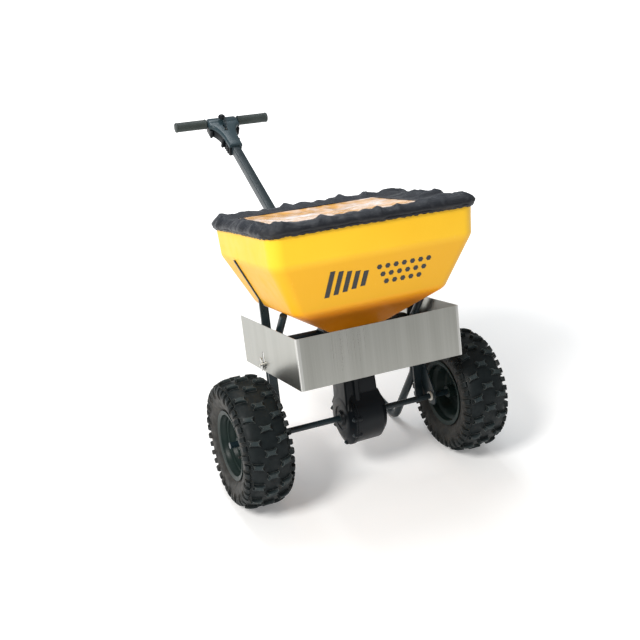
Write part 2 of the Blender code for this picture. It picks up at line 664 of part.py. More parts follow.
def build_gate():
    """Sliding shutter under the hopper's ports, with a post that the rod's eye pulls."""
    tail, shoulder, end = 0.0095, 0.046, EYE_Y + 0.0032
    edge = [(-0.050, -0.043), (0.050, -0.043), (0.050, 0.030), (tail, shoulder), (tail, end),
            (-tail, end), (-tail, shoulder), (-0.050, 0.030)]
    half = SHAFT_R + 0.0016
    slot = [(-half, -GATE_TRAVEL - half - 0.002), (half, -GATE_TRAVEL - half - 0.002), (half, half),
            (-half, half)]
    gate = as_mesh(plate("gate", [edge, slot], 0.002, "stainless", level, (0, 0, 0.3985)))
    post = cylinder("gate_post", 0.0030, (0, EYE_Y, 0.3665), (0, EYE_Y, 0.3985), None, level, 14)
    boolean(gate, post, "UNION")


# ---- drive --------------------------------------------------------------------------------------------
def build_wheel(side, sign):
    """Tyre, stamped rim and hub about the axle's line; gives back the hub."""
    def on_wheel(name, profile, slot, steps):
        """Turn a profile about the wheel's line, with a flat of the tread down."""
        made = turned(name + "_" + side, profile, slot, wheel_line, (sign * WHEEL_X, 0, 0),
                      (math.pi / WHEEL_FACETS, sign * math.pi / 2, 0), steps)
        made.rotation_mode = "ZYX"
        return made

    tread = WHEEL_R / math.cos(math.pi / WHEEL_FACETS)
    outside = [(0.0802, 0.0440), (0.0892, 0.0480), (0.1180, TYRE_HALF_W), (0.1440, 0.0590),
               (0.1580, 0.0480), (tread, 0.0320)]
    inside = [(0.1560, 0.0280), (0.1300, 0.0520), (0.0802, 0.0340)]
    tyre = outside + [(r, -z) for r, z in reversed(outside)]
    tyre += [(r, -z) for r, z in reversed(inside)] + inside
    on_wheel("tyre", tyre, "tyre_rubber", WHEEL_FACETS)
    barrel = [(RIM_R, RIM_HALF_W), (RIM_R, RIM_HALF_W - 0.003), (0.0797, RIM_HALF_W - 0.006),
              (0.0780, 0.034), (0.0660, 0.026), (0.0660, -0.030), (0.0780, -0.036),
              (0.0797, -RIM_HALF_W + 0.006), (RIM_R, -RIM_HALF_W + 0.003), (RIM_R, -RIM_HALF_W)]
    back = [(0.0770, -RIM_HALF_W + 0.003), (0.0750, -0.036), (0.0630, -0.029), (0.0630, -0.004),
            (0.0460, 0.004), (0.0165, 0.002)]
    front = [(0.0165, 0.006), (0.0460, 0.008), (0.0630, 0.000), (0.0630, 0.026), (0.0750, 0.036),
             (0.0770, RIM_HALF_W - 0.003)]
    on_wheel("rim", barrel + back + front, "rim_paint", 28)
    return on_wheel("wheel_hub", ring_profile(AXLE_R + GAP, 0.0162, -0.036, 0.030), "rim_paint", 20)


def build_drive():
    """Axle with its bevel gear; the left wheel is pinned to it and the right wheel runs free."""
    end = WHEEL_X + 0.052
    axle = cylinder("axle", AXLE_R, (-end, 0, 0), (end, 0, 0), "black_steel", wheel_line, 24)
    left_hub = build_wheel("left", -1)
    build_wheel("right", 1)
    pin_x = -WHEEL_X - 0.022
    for target in (axle, left_hub):
        drill(target, 0.0033, (pin_x, 0, -0.03), (pin_x, 0, 0.03), wheel_line)
    cylinder("drive_pin", 0.0030, (pin_x, 0, -0.0215), (pin_x, 0, 0.0215), "zinc", wheel_line, 14)
    washer_x = WHEEL_X + 0.0305
    turned("axle_washer", ring_profile(AXLE_R + GAP, 0.0155, 0, 0.002), "zinc", wheel_line,
           (washer_x, 0, 0), (0, math.pi / 2, 0), 20)
    cotter_x = washer_x + 0.0050
    drill(axle, 0.0020, (cotter_x, 0, -0.03), (cotter_x, 0, 0.03), wheel_line)
    cylinder("cotter_pin", 0.0017, (cotter_x, 0, -0.0150), (cotter_x, 0, 0.0150), "zinc", wheel_line, 12)


def build_bevel_gear():
    """Crown gear on the axle: alternate faces of its rim are raised as tapered teeth."""
    mesh = bmesh.new()
    bmesh.ops.create_cone(mesh, cap_ends=True, segments=2 * GEAR_TEETH, radius1=GEAR_R, radius2=GEAR_R,
                          depth=0.007)
    face = max(mesh.faces, key=lambda f: f.calc_center_median().z)
    rim = bmesh.ops.inset_region(mesh, faces=[face], thickness=0.009, use_even_offset=True)["faces"]
    rim.sort(key=lambda f: math.atan2(f.calc_center_median().y, f.calc_center_median().x))
    raised = bmesh.ops.extrude_discrete_faces(mesh, faces=rim[::2])["faces"]
    for tooth in raised:
        centre = tooth.calc_center_median()
        around = Vector((-centre.y, centre.x, 0)).normalized()
        for vertex in tooth.verts:
            vertex.co -= around * (vertex.co - centre).dot(around) * (1 - TOOTH_TOP)
            vertex.co.z += TOOTH_HEIGHT
    first = raised[0].calc_center_median()
    data = bpy.data.meshes.new("bevel_gear")
    mesh.to_mesh(data)
    mesh.free()
    phase = math.atan2(first.y, first.x)
    gear = add("bevel_gear", data, "zinc", axle_line, (GEAR_FACE_X - 0.0035, 0, 0),
               (0, math.pi / 2, 0))
    half_pitch = math.pi / GEAR_TEETH
    data.transform(Matrix.Rotation(math.pi - phase + half_pitch, 4, "Z"))
    drill(gear, AXLE_R + GAP, (-0.05, 0, 0), (0.02, 0, 0), axle_line)


def pinion_outline():
    """Eight straight-sided teeth with one pointing at the gear, along -X."""
    root, tip = 0.0095, 0.0143
    outline = []
    for i in range(PINION_TEETH):
        middle = math.pi + 2 * math.pi * i / PINION_TEETH
        for radius, half_width in ((root, -0.0015), (tip, -0.0008), (tip, 0.0008), (root, 0.0015)):
            along = math.sqrt(radius ** 2 - half_width ** 2)
            outline.append((along * math.cos(middle) - half_width * math.sin(middle),
                            along * math.sin(middle) + half_width * math.cos(middle)))
    return outline


def build_impeller():
    """Upright shaft with the pinion, the vaned spreading disc and the agitator bar."""
    cylinder("impeller_shaft", SHAFT_R, (0, 0, WHEEL_R + 0.030), (0, 0, 0.452), "zinc", shaft_line, 20)
    plate("bevel_pinion", [pinion_outline(), circle(SHAFT_R + GAP)], 0.008, "zinc", shaft_line,
          (0, 0, WHEEL_R + GEAR_R - 0.0045))
    disc = cylinder("impeller", IMPELLER_R, (0, 0, IMPELLER_Z), (0, 0, IMPELLER_Z + 0.003),
                    "black_plastic", shaft_line, 40)
    boss = cylinder("impeller_boss", 0.0150, (0, 0, IMPELLER_Z - 0.008), (0, 0, IMPELLER_Z + 0.022),
                    None, shaft_line, 20)
    boolean(disc, boss, "UNION")
    vane = bmesh.new()
    for i in range(4):
        turn = Matrix.Rotation(math.pi / 2 * i + math.pi / 4, 4, "Z")
        place = Matrix.Translation((0.062, 0, IMPELLER_Z + 0.0125))
        bmesh.ops.create_cube(vane, size=1.0, matrix=turn @ place @ Matrix.Diagonal((0.100, 0.003, 0.021, 1)))
    data = bpy.data.meshes.new("vanes")
    vane.to_mesh(data)
    vane.free()
    boolean(disc, add("vanes", data, None, shaft_line), "UNION")
    drill(disc, SHAFT_R + GAP, (0, 0, IMPELLER_Z - 0.02), (0, 0, IMPELLER_Z + 0.04), shaft_line)
    bar = rounded_rectangle(0.034, -0.0085, 0.0085, 0.008, 3)
    plate("agitator", [bar, circle(SHAFT_R + GAP)], 0.004, "zinc", shaft_line, (0, 0, 0.436))


# ---- deflector --------------------------------------------------------------------------------------------
def build_deflector():
    """Stainless sheet bent round the front and both sides, slotted for its clamp bolts."""
    bend = 0.004

    def bent_path(half_x, front, radius):
        centre_x, centre_y = half_x - radius, front + radius
        points = [(half_x, DEFLECTOR_BACK)]
        for angle in (0, -30, -60, -90):
            turn = math.radians(angle)
            points.append((centre_x + radius * math.cos(turn), centre_y + radius * math.sin(turn)))
        return points + [(-x, y) for x, y in reversed(points)]

    outer = bent_path(DEFLECTOR_X, DEFLECTOR_FRONT, bend)
    inner = bent_path(DEFLECTOR_X - DEFLECTOR_T, DEFLECTOR_FRONT + DEFLECTOR_T, bend - DEFLECTOR_T)
    outline = list(reversed(outer)) + inner
    sheet = as_mesh(plate("deflector", [outline], DEFLECTOR_HIGH - DEFLECTOR_LOW, "stainless", level,
                          (0, 0, (DEFLECTOR_LOW + DEFLECTOR_HIGH) / 2)))
    for side, sign in mirrored(1):
        slot = box("deflector_slot_" + side, (sign * DEFLECTOR_X - 0.01, STAND_Y - 0.0037, CLAMP_Z - 0.0040),
                   (sign * DEFLECTOR_X + 0.01, STAND_Y + 0.0037, CLAMP_Z + SLOT_LENGTH), None, level)
        boolean(sheet, slot)


build_hopper()
build_cover()
build_legs()
build_braces()
build_stand()
build_axle_brackets()
build_crossbar()
build_base_plate()
build_clamps()
build_gearbox()
build_handle()
build_hub()
build_lever()
build_control_rod()
build_gate()
build_drive()
build_bevel_gear()
build_impeller()
build_deflector()
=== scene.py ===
"""Looks of the walk-behind broadcast salt spreader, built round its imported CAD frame.

Lengths are metres. Most pieces are drawn in the level drawing that the CAD uses (X along the
axle, Y to the rear, Z up from the ground line under the wheels) and placed by the LEVEL matrix,
which carries the parked machine's lean.
"""
import json
import math
import random

import bmesh
import bpy
import numpy as np
from mathutils import Matrix, Vector, noise


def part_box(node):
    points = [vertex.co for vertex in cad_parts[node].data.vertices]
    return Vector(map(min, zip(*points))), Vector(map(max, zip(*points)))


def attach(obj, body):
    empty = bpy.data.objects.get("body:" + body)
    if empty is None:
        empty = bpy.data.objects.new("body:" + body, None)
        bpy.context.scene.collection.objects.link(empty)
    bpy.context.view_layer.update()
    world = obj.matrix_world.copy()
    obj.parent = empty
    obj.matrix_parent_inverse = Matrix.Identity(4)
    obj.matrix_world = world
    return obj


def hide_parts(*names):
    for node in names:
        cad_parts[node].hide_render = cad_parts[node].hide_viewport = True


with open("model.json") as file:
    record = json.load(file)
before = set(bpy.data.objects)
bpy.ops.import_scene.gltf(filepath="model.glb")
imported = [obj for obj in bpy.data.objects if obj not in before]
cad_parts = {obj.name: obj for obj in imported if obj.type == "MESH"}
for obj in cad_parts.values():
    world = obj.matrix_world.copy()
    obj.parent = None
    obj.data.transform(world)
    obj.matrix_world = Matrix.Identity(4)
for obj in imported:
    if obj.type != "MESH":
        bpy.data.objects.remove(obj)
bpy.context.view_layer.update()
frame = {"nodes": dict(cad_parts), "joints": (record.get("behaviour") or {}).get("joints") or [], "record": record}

# ---- frames that the pieces are drawn in ----
JOINTS = {joint["name"]: joint for joint in frame["joints"]}
AXLE = Vector(JOINTS["axle_spin"]["pos_m"])
ACROSS = Vector((1, 0, 0))
UP = Vector(JOINTS["deflector_height"]["axis"]).normalized()
BACK = UP.cross(ACROSS)
ALONG_HANDLE = Vector(JOINTS["rod_pull"]["axis"]).normalized()


def axes(origin, x, y):
    """Matrix of a frame from its origin and its first two axes."""
    z = x.cross(y)
    return Matrix([[x[i], y[i], z[i], origin[i]] for i in range(3)] + [[0, 0, 0, 1]])


WHEEL_R = AXLE.z
LEVEL = axes(AXLE - UP * WHEEL_R, ACROSS, BACK)
HANDLE_Z = 0.336
HANDLE = axes(LEVEL @ Vector((0, 0, HANDLE_Z)), ACROSS, ALONG_HANDLE)
LEAN = math.atan2(UP.y, UP.z)


def box_in(matrix, *nodes):
    """Lowest and highest corner of CAD nodes in a frame of the drawing."""
    back = matrix.inverted()
    points = np.array([back @ v.co for n in nodes for v in frame["nodes"][n].data.vertices])
    return Vector(points.min(0)), Vector(points.max(0))


WHEEL_X = (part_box("tyre_right")[0].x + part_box("tyre_right")[1].x) / 2


# ---- materials ----
class Look:
    """A Principled material, with short ways to wire procedural detail into it."""

    def __init__(self, name, colour, roughness, metallic=0.0, **constants):
        self.material = bpy.data.materials.new(name)
        self.material.use_nodes = True
        self.tree = self.material.node_tree
        self.shader = self.tree.nodes["Principled BSDF"]
        self.shader.inputs["Base Color"].default_value = (*colour, 1)
        self.shader.inputs["Roughness"].default_value = roughness
        self.shader.inputs["Metallic"].default_value = metallic
        for socket, value in constants.items():
            self.shader.inputs[socket.replace("_", " ")].default_value = value
        self.place = self.node("ShaderNodeTexCoord").outputs["Object"]

    def node(self, kind, inputs=(), **settings):
        made = self.tree.nodes.new(kind)
        for key, value in settings.items():
            setattr(made, key, value)
        for key, value in dict(inputs).items():
            self.feed(value, made.inputs[key])
        return made

    def feed(self, value, socket):
        """Link a socket, or set it when the value is a plain one."""
        if isinstance(value, bpy.types.NodeSocket):
            self.tree.links.new(value, socket)
        else:
            socket.default_value = value

    def to(self, socket, value):
        self.feed(value, self.shader.inputs[socket])

    def part(self, axis):
        """One of the object coordinates."""
        return self.node("ShaderNodeSeparateXYZ", {"Vector": self.place}).outputs[axis]

    def stretched(self, scale=(1, 1, 1), turn=(0, 0, 0)):
        """Object coordinates turned first and then scaled."""
        turned = self.node("ShaderNodeMapping", {"Vector": self.place, "Rotation": turn})
        return self.node("ShaderNodeMapping", {"Vector": turned.outputs["Vector"], "Scale": scale}
                         ).outputs["Vector"]

    def noise(self, scale, detail=3.0, rough=0.5, place=None):
        """Fractal unevenness between 0 and 1."""
        return self.node("ShaderNodeTexNoise", {"Vector": place or self.place, "Scale": scale,
                                                "Detail": detail, "Roughness": rough}).outputs["Fac"]

    def cells(self, scale):
        """Distance to the nearest of scattered points, for leathery grain."""
        return self.node("ShaderNodeTexVoronoi", {"Vector": self.place, "Scale": scale}).outputs["Distance"]

    def wave(self, scale, place, direction="X"):
        """Even bands across one direction."""
        return self.node("ShaderNodeTexWave", {"Vector": place, "Scale": scale}, wave_type="BANDS",
                         bands_direction=direction, wave_profile="SIN").outputs["Fac"]

    def math(self, operation, a, b=0.0):
        made = self.node("ShaderNodeMath", operation=operation)
        self.feed(a, made.inputs[0])
        self.feed(b, made.inputs[1])
        return made.outputs[0]

    def length(self, a, b):
        """Length of a flat vector, from its two parts."""
        square = self.math("ADD", self.math("POWER", a, 2.0), self.math("POWER", b, 2.0))
        return self.math("SQRT", square)

    def span(self, value, low, high, to_low=0.0, to_high=1.0):
        """The value's share of the way from low to high, carried over to another range."""
        return self.node("ShaderNodeMapRange", {"Value": value, "From Min": low, "From Max": high,
                                                "To Min": to_low, "To Max": to_high}).outputs["Result"]

    def mix(self, share, a, b):
        made = self.node("ShaderNodeMix", data_type="RGBA")
        self.feed(share, made.inputs[0])
        self.feed(a if isinstance(a, bpy.types.NodeSocket) else (*a, 1), made.inputs[6])
        self.feed(b if isinstance(b, bpy.types.NodeSocket) else (*b, 1), made.inputs[7])
        return made.outputs[2]

    def edges(self, radius, threshold=0.9):
        """1 on edges sharper than the threshold allows, and 0 on open faces."""
        rounded = self.node("ShaderNodeBevel", {"Radius": radius}, samples=4).outputs["Normal"]
        face = self.node("ShaderNodeNewGeometry").outputs["Normal"]
        likeness = self.node("ShaderNodeVectorMath", {0: rounded, 1: face}, operation="DOT_PRODUCT")
        return self.span(likeness.outputs["Value"], threshold, threshold - 0.12)

    def bump(self, height, strength, distance, under=None):
        made = self.node("ShaderNodeBump", {"Height": height, "Strength": strength,
                                            "Distance": distance})
        if under:
            self.feed(under, made.inputs["Normal"])
        return made.outputs["Normal"]


def yellow_poly():
    """Moulded polyethylene: satin orange-peel skin, clouds, scuffs, and painted shade lower down."""
    look = Look("yellow_poly", (0.90, 0.52, 0.02), 0.4, Specular_IOR_Level=0.32)
    cloud = look.noise(5.0, 2.0)
    scuff = look.span(look.noise(90.0, 6.0, 0.7, look.stretched((1, 1, 0.15))), 0.64, 0.72)
    colour = look.mix(look.span(cloud, 0.3, 0.7), (0.90, 0.535, 0.018), (0.86, 0.49, 0.012))
    height = look.part("Z")
    # Painted shade: deeper, more orange colour below the shoulder, and again below the crease.
    colour = look.mix(look.span(height, 0.622, 0.600), colour, (0.77, 0.390, 0.003))
    colour = look.mix(look.span(height, 0.500, 0.474), colour, (0.92, 0.290, 0.002))
    look.to("Base Color", look.mix(look.math("MULTIPLY", scuff, 0.25), colour, (0.95, 0.62, 0.10)))
    look.to("Roughness", look.span(look.noise(30.0, 4.0), 0.3, 0.7, 0.36, 0.48))
    peel = look.bump(look.noise(420.0, 2.0), 0.10, 0.0006)
    look.to("Normal", look.bump(look.noise(9.0, 1.0), 0.12, 0.006, peel))
    return look.material


def worn_paint(name, colour, worn, roughness, peel_scale, wear=0.5, dust=(0.10, 0.095, 0.085),
               shine=0.34):
    """Coated metal or plastic: fine peel, dust in soft clouds, and lighter rubbed edges."""
    look = Look(name, colour, roughness, Specular_IOR_Level=shine)
    patches = look.span(look.noise(55.0, 5.0, 0.65), 0.35, 0.6)
    rubbed = look.math("MULTIPLY", look.edges(0.0012), look.math("MULTIPLY", patches, wear))
    dusty = look.span(look.noise(14.0, 5.0, 0.6), 0.45, 0.8, 0.0, 0.10)
    speck = look.span(look.noise(700.0, 2.0, 0.8), 0.66, 0.74, 0.0, 0.12)
    base = look.mix(look.math("MAXIMUM", dusty, speck), colour, dust)
    look.to("Base Color", look.mix(rubbed, base, worn))
    sheen = look.span(look.noise(40.0, 4.0), 0.25, 0.75, roughness - 0.07, roughness + 0.10)
    look.to("Roughness", sheen)
    look.to("Normal", look.bump(look.noise(peel_scale, 3.0), 0.16, 0.0004))
    return look.material


def black_steel():
    """Powder-coated tubes and plates of the frame."""
    return worn_paint("black_steel", (0.010, 0.020, 0.025), (0.12, 0.15, 0.16), 0.30, 900.0)


def black_plastic():
    """Moulded black plastic of the gearbox and the hub's lower shell."""
    return worn_paint("black_plastic", (0.004, 0.006, 0.008), (0.05, 0.06, 0.065), 0.36, 1500.0, 0.5,
                      (0.02, 0.022, 0.024), 0.20)


def rim_paint():
    """Thin satin paint of the stamped rims and hub tubes."""
    return worn_paint("rim_paint", (0.011, 0.020, 0.018), (0.06, 0.09, 0.08), 0.34, 700.0, 0.35,
                      (0.04, 0.043, 0.04), 0.12)


def hub_plastic():
    """Glass-filled nylon of the handle hub: blue-grey satin skin with a fine flow pattern."""
    return worn_paint("hub_plastic", (0.022, 0.042, 0.052), (0.10, 0.14, 0.16), 0.34, 1300.0, 0.4)


def grip_rubber():
    """Moulded grip: matt, with a fine leathery grain and hand-polished patches."""
    look = Look("grip_rubber", (0.02, 0.03, 0.028), 0.62)
    polish = look.span(look.noise(35.0, 3.0), 0.35, 0.7)
    look.to("Base Color", look.mix(polish, (0.018, 0.028, 0.026), (0.030, 0.040, 0.038)))
    look.to("Roughness", look.span(polish, 0.0, 1.0, 0.68, 0.48))
    look.to("Normal", look.bump(look.cells(900.0), 0.35, 0.0005))
    return look.material


def tyre_rubber():
    """Tyre about its own X axis: blue-black tread with painted shade and highlights, brown dusty sidewall, grain
    and mould flow.
    """
    look = Look("tyre_rubber", (0.022, 0.024, 0.026), 0.78, Specular_IOR_Level=0.22)
    radius = look.length(look.part("Y"), look.part("Z"))
    wall = look.span(radius, 0.146, 0.122)
    dust = look.span(look.noise(38.0, 6.0, 0.7), 0.38, 0.72)
    # Painted shade and light: grooves darker and lug tops lighter, chosen by radius, with dust over both.
    shaded_groove = look.mix(look.math("MULTIPLY", dust, 0.5), (0.003, 0.006, 0.007), (0.009, 0.014, 0.015))
    block = look.mix(look.math("MULTIPLY", dust, 0.6), (0.013, 0.022, 0.025), (0.048, 0.058, 0.057))
    tread = look.mix(look.span(radius, 0.1560, 0.1625), shaded_groove, block)
    side = look.mix(dust, (0.010, 0.011, 0.010), (0.040, 0.036, 0.031))
    colour = look.mix(wall, tread, side)
    # Painted highlight: lighter colour along the lug edges.
    edge = look.math("MULTIPLY", look.edges(0.0016, 0.93), 0.45)
    look.to("Base Color", look.mix(edge, colour, (0.15, 0.15, 0.14)))
    look.to("Roughness", look.span(look.noise(60.0, 5.0), 0.3, 0.7, 0.42, 0.70))
    grain = look.bump(look.noise(1100.0, 3.0), 0.25, 0.0004)
    look.to("Normal", look.bump(look.noise(150.0, 4.0), 0.2, 0.001, grain))
    return look.material


# Width of the painted highlight line at the deflector's bends; heights of the cover's top and its flat middle.
BEND_HIGHLIGHT_BAND = 0.0095
COVER_TOP_Z = 0.7205
FLAT_Z = COVER_TOP_Z - 0.006


def stainless():
    """Brushed sheet: long upright brush lines, smears, and a painted highlight band along each bent corner."""
    look = Look("stainless", (0.46, 0.46, 0.435), 0.34, 1.0)
    low, high = box_in(LEVEL, "deflector")
    level = look.node("ShaderNodeVectorMath", {0: look.place, 1: BACK}, operation="DOT_PRODUCT")
    front = (LEVEL @ low).dot(BACK)
    aside = look.math("SUBTRACT", look.math("ABSOLUTE", look.part("X")), high.x)
    ahead = look.math("SUBTRACT", level.outputs["Value"], front)
    # Painted highlight: a lighter band down each bent front corner of the sheet.
    painted_bend_highlight = look.span(look.length(aside, ahead), BEND_HIGHLIGHT_BAND, BEND_HIGHLIGHT_BAND - 0.0012)
    turn = (LEAN, 0, 0)
    fine = look.noise(420.0, 3.0, 0.6, look.stretched((1, 1, 0.006), turn))
    broad = look.noise(26.0, 2.0, 0.5, look.stretched((1, 1, 0.04), turn))
    smear = look.noise(5.0, 2.0)
    tone = look.math("ADD", look.math("MULTIPLY", fine, 0.45), look.math("MULTIPLY", broad, 0.55))
    sheet = look.mix(look.span(tone, 0.3, 0.7), (0.34, 0.34, 0.31), (0.43, 0.43, 0.40))
    look.to("Base Color", look.mix(painted_bend_highlight, sheet, (0.55, 0.55, 0.525)))
    look.to("Roughness", look.math("ADD", look.span(fine, 0.3, 0.7, 0.28, 0.36),
                                   look.span(smear, 0.3, 0.7, -0.03, 0.04)))
    look.to("Normal", look.bump(fine, 0.06, 0.0003))
    return look.material


def zinc():
    """Zinc-plated hardware: bright with a mottled passivated skin."""
    look = Look("zinc", (0.62, 0.62, 0.60), 0.35, 1.0)
    mottle = look.noise(160.0, 5.0, 0.7)
    bright = look.span(mottle, 0.35, 0.65)
    look.to("Base Color", look.mix(bright, (0.50, 0.50, 0.47), (0.74, 0.74, 0.73)))
    look.to("Roughness", look.span(mottle, 0.3, 0.7, 0.26, 0.46))
    look.to("Normal", look.bump(look.noise(900.0, 2.0), 0.12, 0.0003))
    return look.material


def nylon():
    """Off-white nylon with grey stains."""
    look = Look("nylon", (0.75, 0.73, 0.66), 0.5)
    stain = look.span(look.noise(120.0, 4.0), 0.4, 0.75)
    look.to("Base Color", look.mix(stain, (0.76, 0.74, 0.67), (0.52, 0.49, 0.42)))
    look.to("Normal", look.bump(look.noise(800.0, 2.0), 0.1, 0.0003))
    return look.material


def cover_fabric():
    """Coated black nylon: fine plain weave, soft bluish sheen and creases, painted shade darker to the hem."""
    look = Look("cover_fabric", (0.010, 0.011, 0.015), 0.50, Specular_IOR_Level=0.38,
                Sheen_Weight=0.06, Sheen_Roughness=0.45, Sheen_Tint=(0.62, 0.70, 0.85, 1))
    across = look.wave(420.0, look.place, "X")
    along = look.wave(420.0, look.place, "Y")
    upright = look.wave(420.0, look.place, "Z")
    weave = look.math("ADD", look.math("MULTIPLY", across, along), look.math("MULTIPLY", upright, 0.5))
    rub = look.span(look.noise(45.0, 6.0, 0.7), 0.45, 0.75)
    top = look.mix(rub, (0.009, 0.012, 0.018), (0.022, 0.027, 0.036))
    height = look.part("Z")
    # Painted shade: the cloth turns darker below the flat top, toward the hem.
    painted_skirt_shade = look.span(height, FLAT_Z, COVER_TOP_Z - 0.026)
    look.to("Base Color", look.mix(painted_skirt_shade, top, (0.004, 0.005, 0.008)))
    look.to("Roughness", look.span(look.noise(24.0, 4.0), 0.3, 0.7, 0.40, 0.58))
    crease = look.bump(look.noise(48.0, 4.0, 0.6), 0.50, 0.0050)
    look.to("Normal", look.bump(weave, 0.35, 0.0004, crease))
    return look.material


def clear_vinyl():
    """Clear sheet tinted orange and peach in blotches, with painted white highlights and light-catching creases.
    """
    look = Look("clear_vinyl", (0.93, 0.84, 0.78), 0.16, Specular_IOR_Level=0.7)
    look.material.blend_method = "BLEND"
    broad_blotches = look.noise(11.0, 3.0, 0.55, look.stretched((1, 1.7, 1), (0, 0, 0.35)))
    creased = look.noise(34.0, 3.0, 0.55, look.stretched((1, 1.6, 1), (0, 0, -0.3)))
    blotch_and_glare = look.math("ADD", look.math("MULTIPLY", broad_blotches, 0.72), look.math("MULTIPLY", creased, 0.28))
    tint = look.mix(look.span(blotch_and_glare, 0.40, 0.50), (0.90, 0.46, 0.11), (0.92, 0.64, 0.44))
    # Painted highlight: white where the blotches and creases run strongest, and less see-through there.
    look.to("Base Color", look.mix(look.span(blotch_and_glare, 0.52, 0.62), tint, (0.93, 0.86, 0.84)))
    look.to("Alpha", look.span(blotch_and_glare, 0.38, 0.58, 0.80, 0.97))
    look.to("Roughness", look.span(creased, 0.3, 0.7, 0.08, 0.26))
    look.to("Normal", look.bump(creased, 0.55, 0.004))
    return look.material


def thread():
    """Twisted polyester sewing thread."""
    look = Look("thread", (0.10, 0.10, 0.11), 0.7)
    ply = look.wave(900.0, look.stretched((1, 1, 1), (0, 0, 0.6)))
    look.to("Base Color", look.mix(ply, (0.07, 0.07, 0.08), (0.17, 0.17, 0.19)))
    return look.material


def decal_ink():
    """Screen-printed ink, a little broken where it has rubbed."""
    look = Look("decal_ink", (0.012, 0.014, 0.014), 0.45)
    rub = look.span(look.noise(260.0, 5.0, 0.7), 0.62, 0.74, 0.0, 0.6)
    look.to("Base Color", look.mix(rub, (0.012, 0.014, 0.014), (0.30, 0.17, 0.02)))
    return look.material


LOOKS = {made.__name__: made() for made in (
    yellow_poly, black_steel, black_plastic, rim_paint, grip_rubber, tyre_rubber,
    stainless, zinc, nylon, cover_fabric, clear_vinyl, thread, decal_ink, hub_plastic)}


# ---- mesh helpers ----
def soften(data, angle=40):
    """Smooth shading, with creases kept where faces meet at more than the angle."""
    data.shade_smooth()
    data.set_sharp_from_angle(angle=math.radians(angle))


def skin(grid, wrap_rows=False, wrap_columns=False):
    """Vertices and quads of a rows x columns grid of points."""
    rows, columns = len(grid), len(grid[0])
    vertices = [tuple(point) for row in grid for point in row]
    faces = []
    for i in range(rows if wrap_rows else rows - 1):
        for j in range(columns if wrap_columns else columns - 1):
            k, m = (i + 1) % rows, (j + 1) % columns
            faces.append((i * columns + j, i * columns + m, k * columns + m, k * columns + j))
    return vertices, faces


def joined(*shapes):
    """Several (vertices, faces) shapes as one."""
    vertices, faces = [], []
    for shape_vertices, shape_faces in shapes:
        start = len(vertices)
        vertices += list(shape_vertices)
        faces += [tuple(start + i for i in face) for face in shape_faces]
    return vertices, faces


def moved(shape, matrix):
    """A (vertices, faces) shape with a matrix applied."""
    return [tuple(matrix @ Vector(v)) for v in shape[0]], shape[1]


def lathe(profile, steps):
    """A closed profile of (along, radius) points turned about the X axis."""
    rows = []
    for i in range(steps):
        angle = 2 * math.pi * i / steps
        c, s = math.cos(angle), math.sin(angle)
        rows.append([(a, r * c, r * s) for a, r in profile])
    return skin(rows, True, True)


def capped(rings):
    """Rings of points joined up, with a face across each end."""
    vertices, faces = skin(rings, False, True)
    count = len(rings[0])
    last = len(vertices) - count
    return vertices, faces + [tuple(range(count))[::-1], tuple(range(last, last + count))]


def rounded_path(points, radius, steps=8):
    """The points joined by straight runs, with an arc of the given radius at each corner."""
    points = [Vector(p) for p in points]
    path = [points[0]]
    for before, corner, after in zip(points, points[1:], points[2:]):
        back = (before - corner).normalized()
        ahead = (after - corner).normalized()
        half = back.angle(ahead) / 2
        reach = radius / math.tan(half)
        centre = corner + (back + ahead).normalized() * radius / math.sin(half)
        first, last = corner + back * reach, corner + ahead * reach
        for i in range(steps + 1):
            arm = (first - centre).normalized().slerp((last - centre).normalized(), i / steps)
            path.append(centre + arm * radius)
    path.append(points[-1])
    return path


def sweep(path, section, closed=False):
    """A section of (side, up) points carried along a path; section may be a function of the share."""
    path = [Vector(p) for p in path]
    count = len(path)
    tangents = []
    for i in range(count):
        if closed:
            tangents.append((path[(i + 1) % count] - path[i - 1]).normalized())
        else:
            tangents.append((path[min(i + 1, count - 1)] - path[max(i - 1, 0)]).normalized())
    first = tangents[0]
    side = first.cross(Vector((0, 0, 1)) if abs(first.z) < 0.9 else Vector((0, 1, 0))).normalized()
    rings = []
    for i, (place, ahead) in enumerate(zip(path, tangents)):
        side = (side - ahead * side.dot(ahead)).normalized()
        up = side.cross(ahead)
        outline = section(i / max(count - 1, 1)) if callable(section) else section
        rings.append([place + side * a + up * b for a, b in outline])
    return skin(rings, True, True) if closed else capped(rings)


def ring(radius, sides=24):
    """Points round a circle."""
    angles = [2 * math.pi * i / sides for i in range(sides)]
    return [(radius * math.cos(a), radius * math.sin(a)) for a in angles]


def rounded_rectangle(half_x, low_y, high_y, radius, steps):
    """Points round a rectangle with round corners, anticlockwise from above."""
    points = []
    for side, edge, start in ((1, low_y, -90), (1, high_y, 0), (-1, high_y, 90), (-1, low_y, 180)):
        inward = 1 if edge == low_y else -1
        centre = (side * (half_x - radius), edge + inward * radius)
        for i in range(steps + 1):
            angle = math.radians(start + 90 * i / steps)
            points.append((centre[0] + radius * math.cos(angle), centre[1] + radius * math.sin(angle)))
    return points


def prism(outline, low, high):
    """A flat outline made thick along Z."""
    return capped([[(x, y, z) for x, y in outline] for z in (low, high)])


def box_shape(low, high):
    """A block between two opposite corners."""
    outline = [(low[0], low[1]), (high[0], low[1]), (high[0], high[1]), (low[0], high[1])]
    return prism(outline, low[2], high[2])


def cylinder(start, end, radius, sides=24, edge=0.0):
    """A round bar between two points, with eased ends."""
    start, end = Vector(start), Vector(end)
    ahead = (end - start).normalized()
    if not edge:
        return sweep([start, end], ring(radius, sides))
    path = [start, start + ahead * edge, end - ahead * edge, end]
    radii = (radius - edge, radius, radius, radius - edge)
    return sweep(path, lambda share: ring(radii[round(share * 3)], sides))


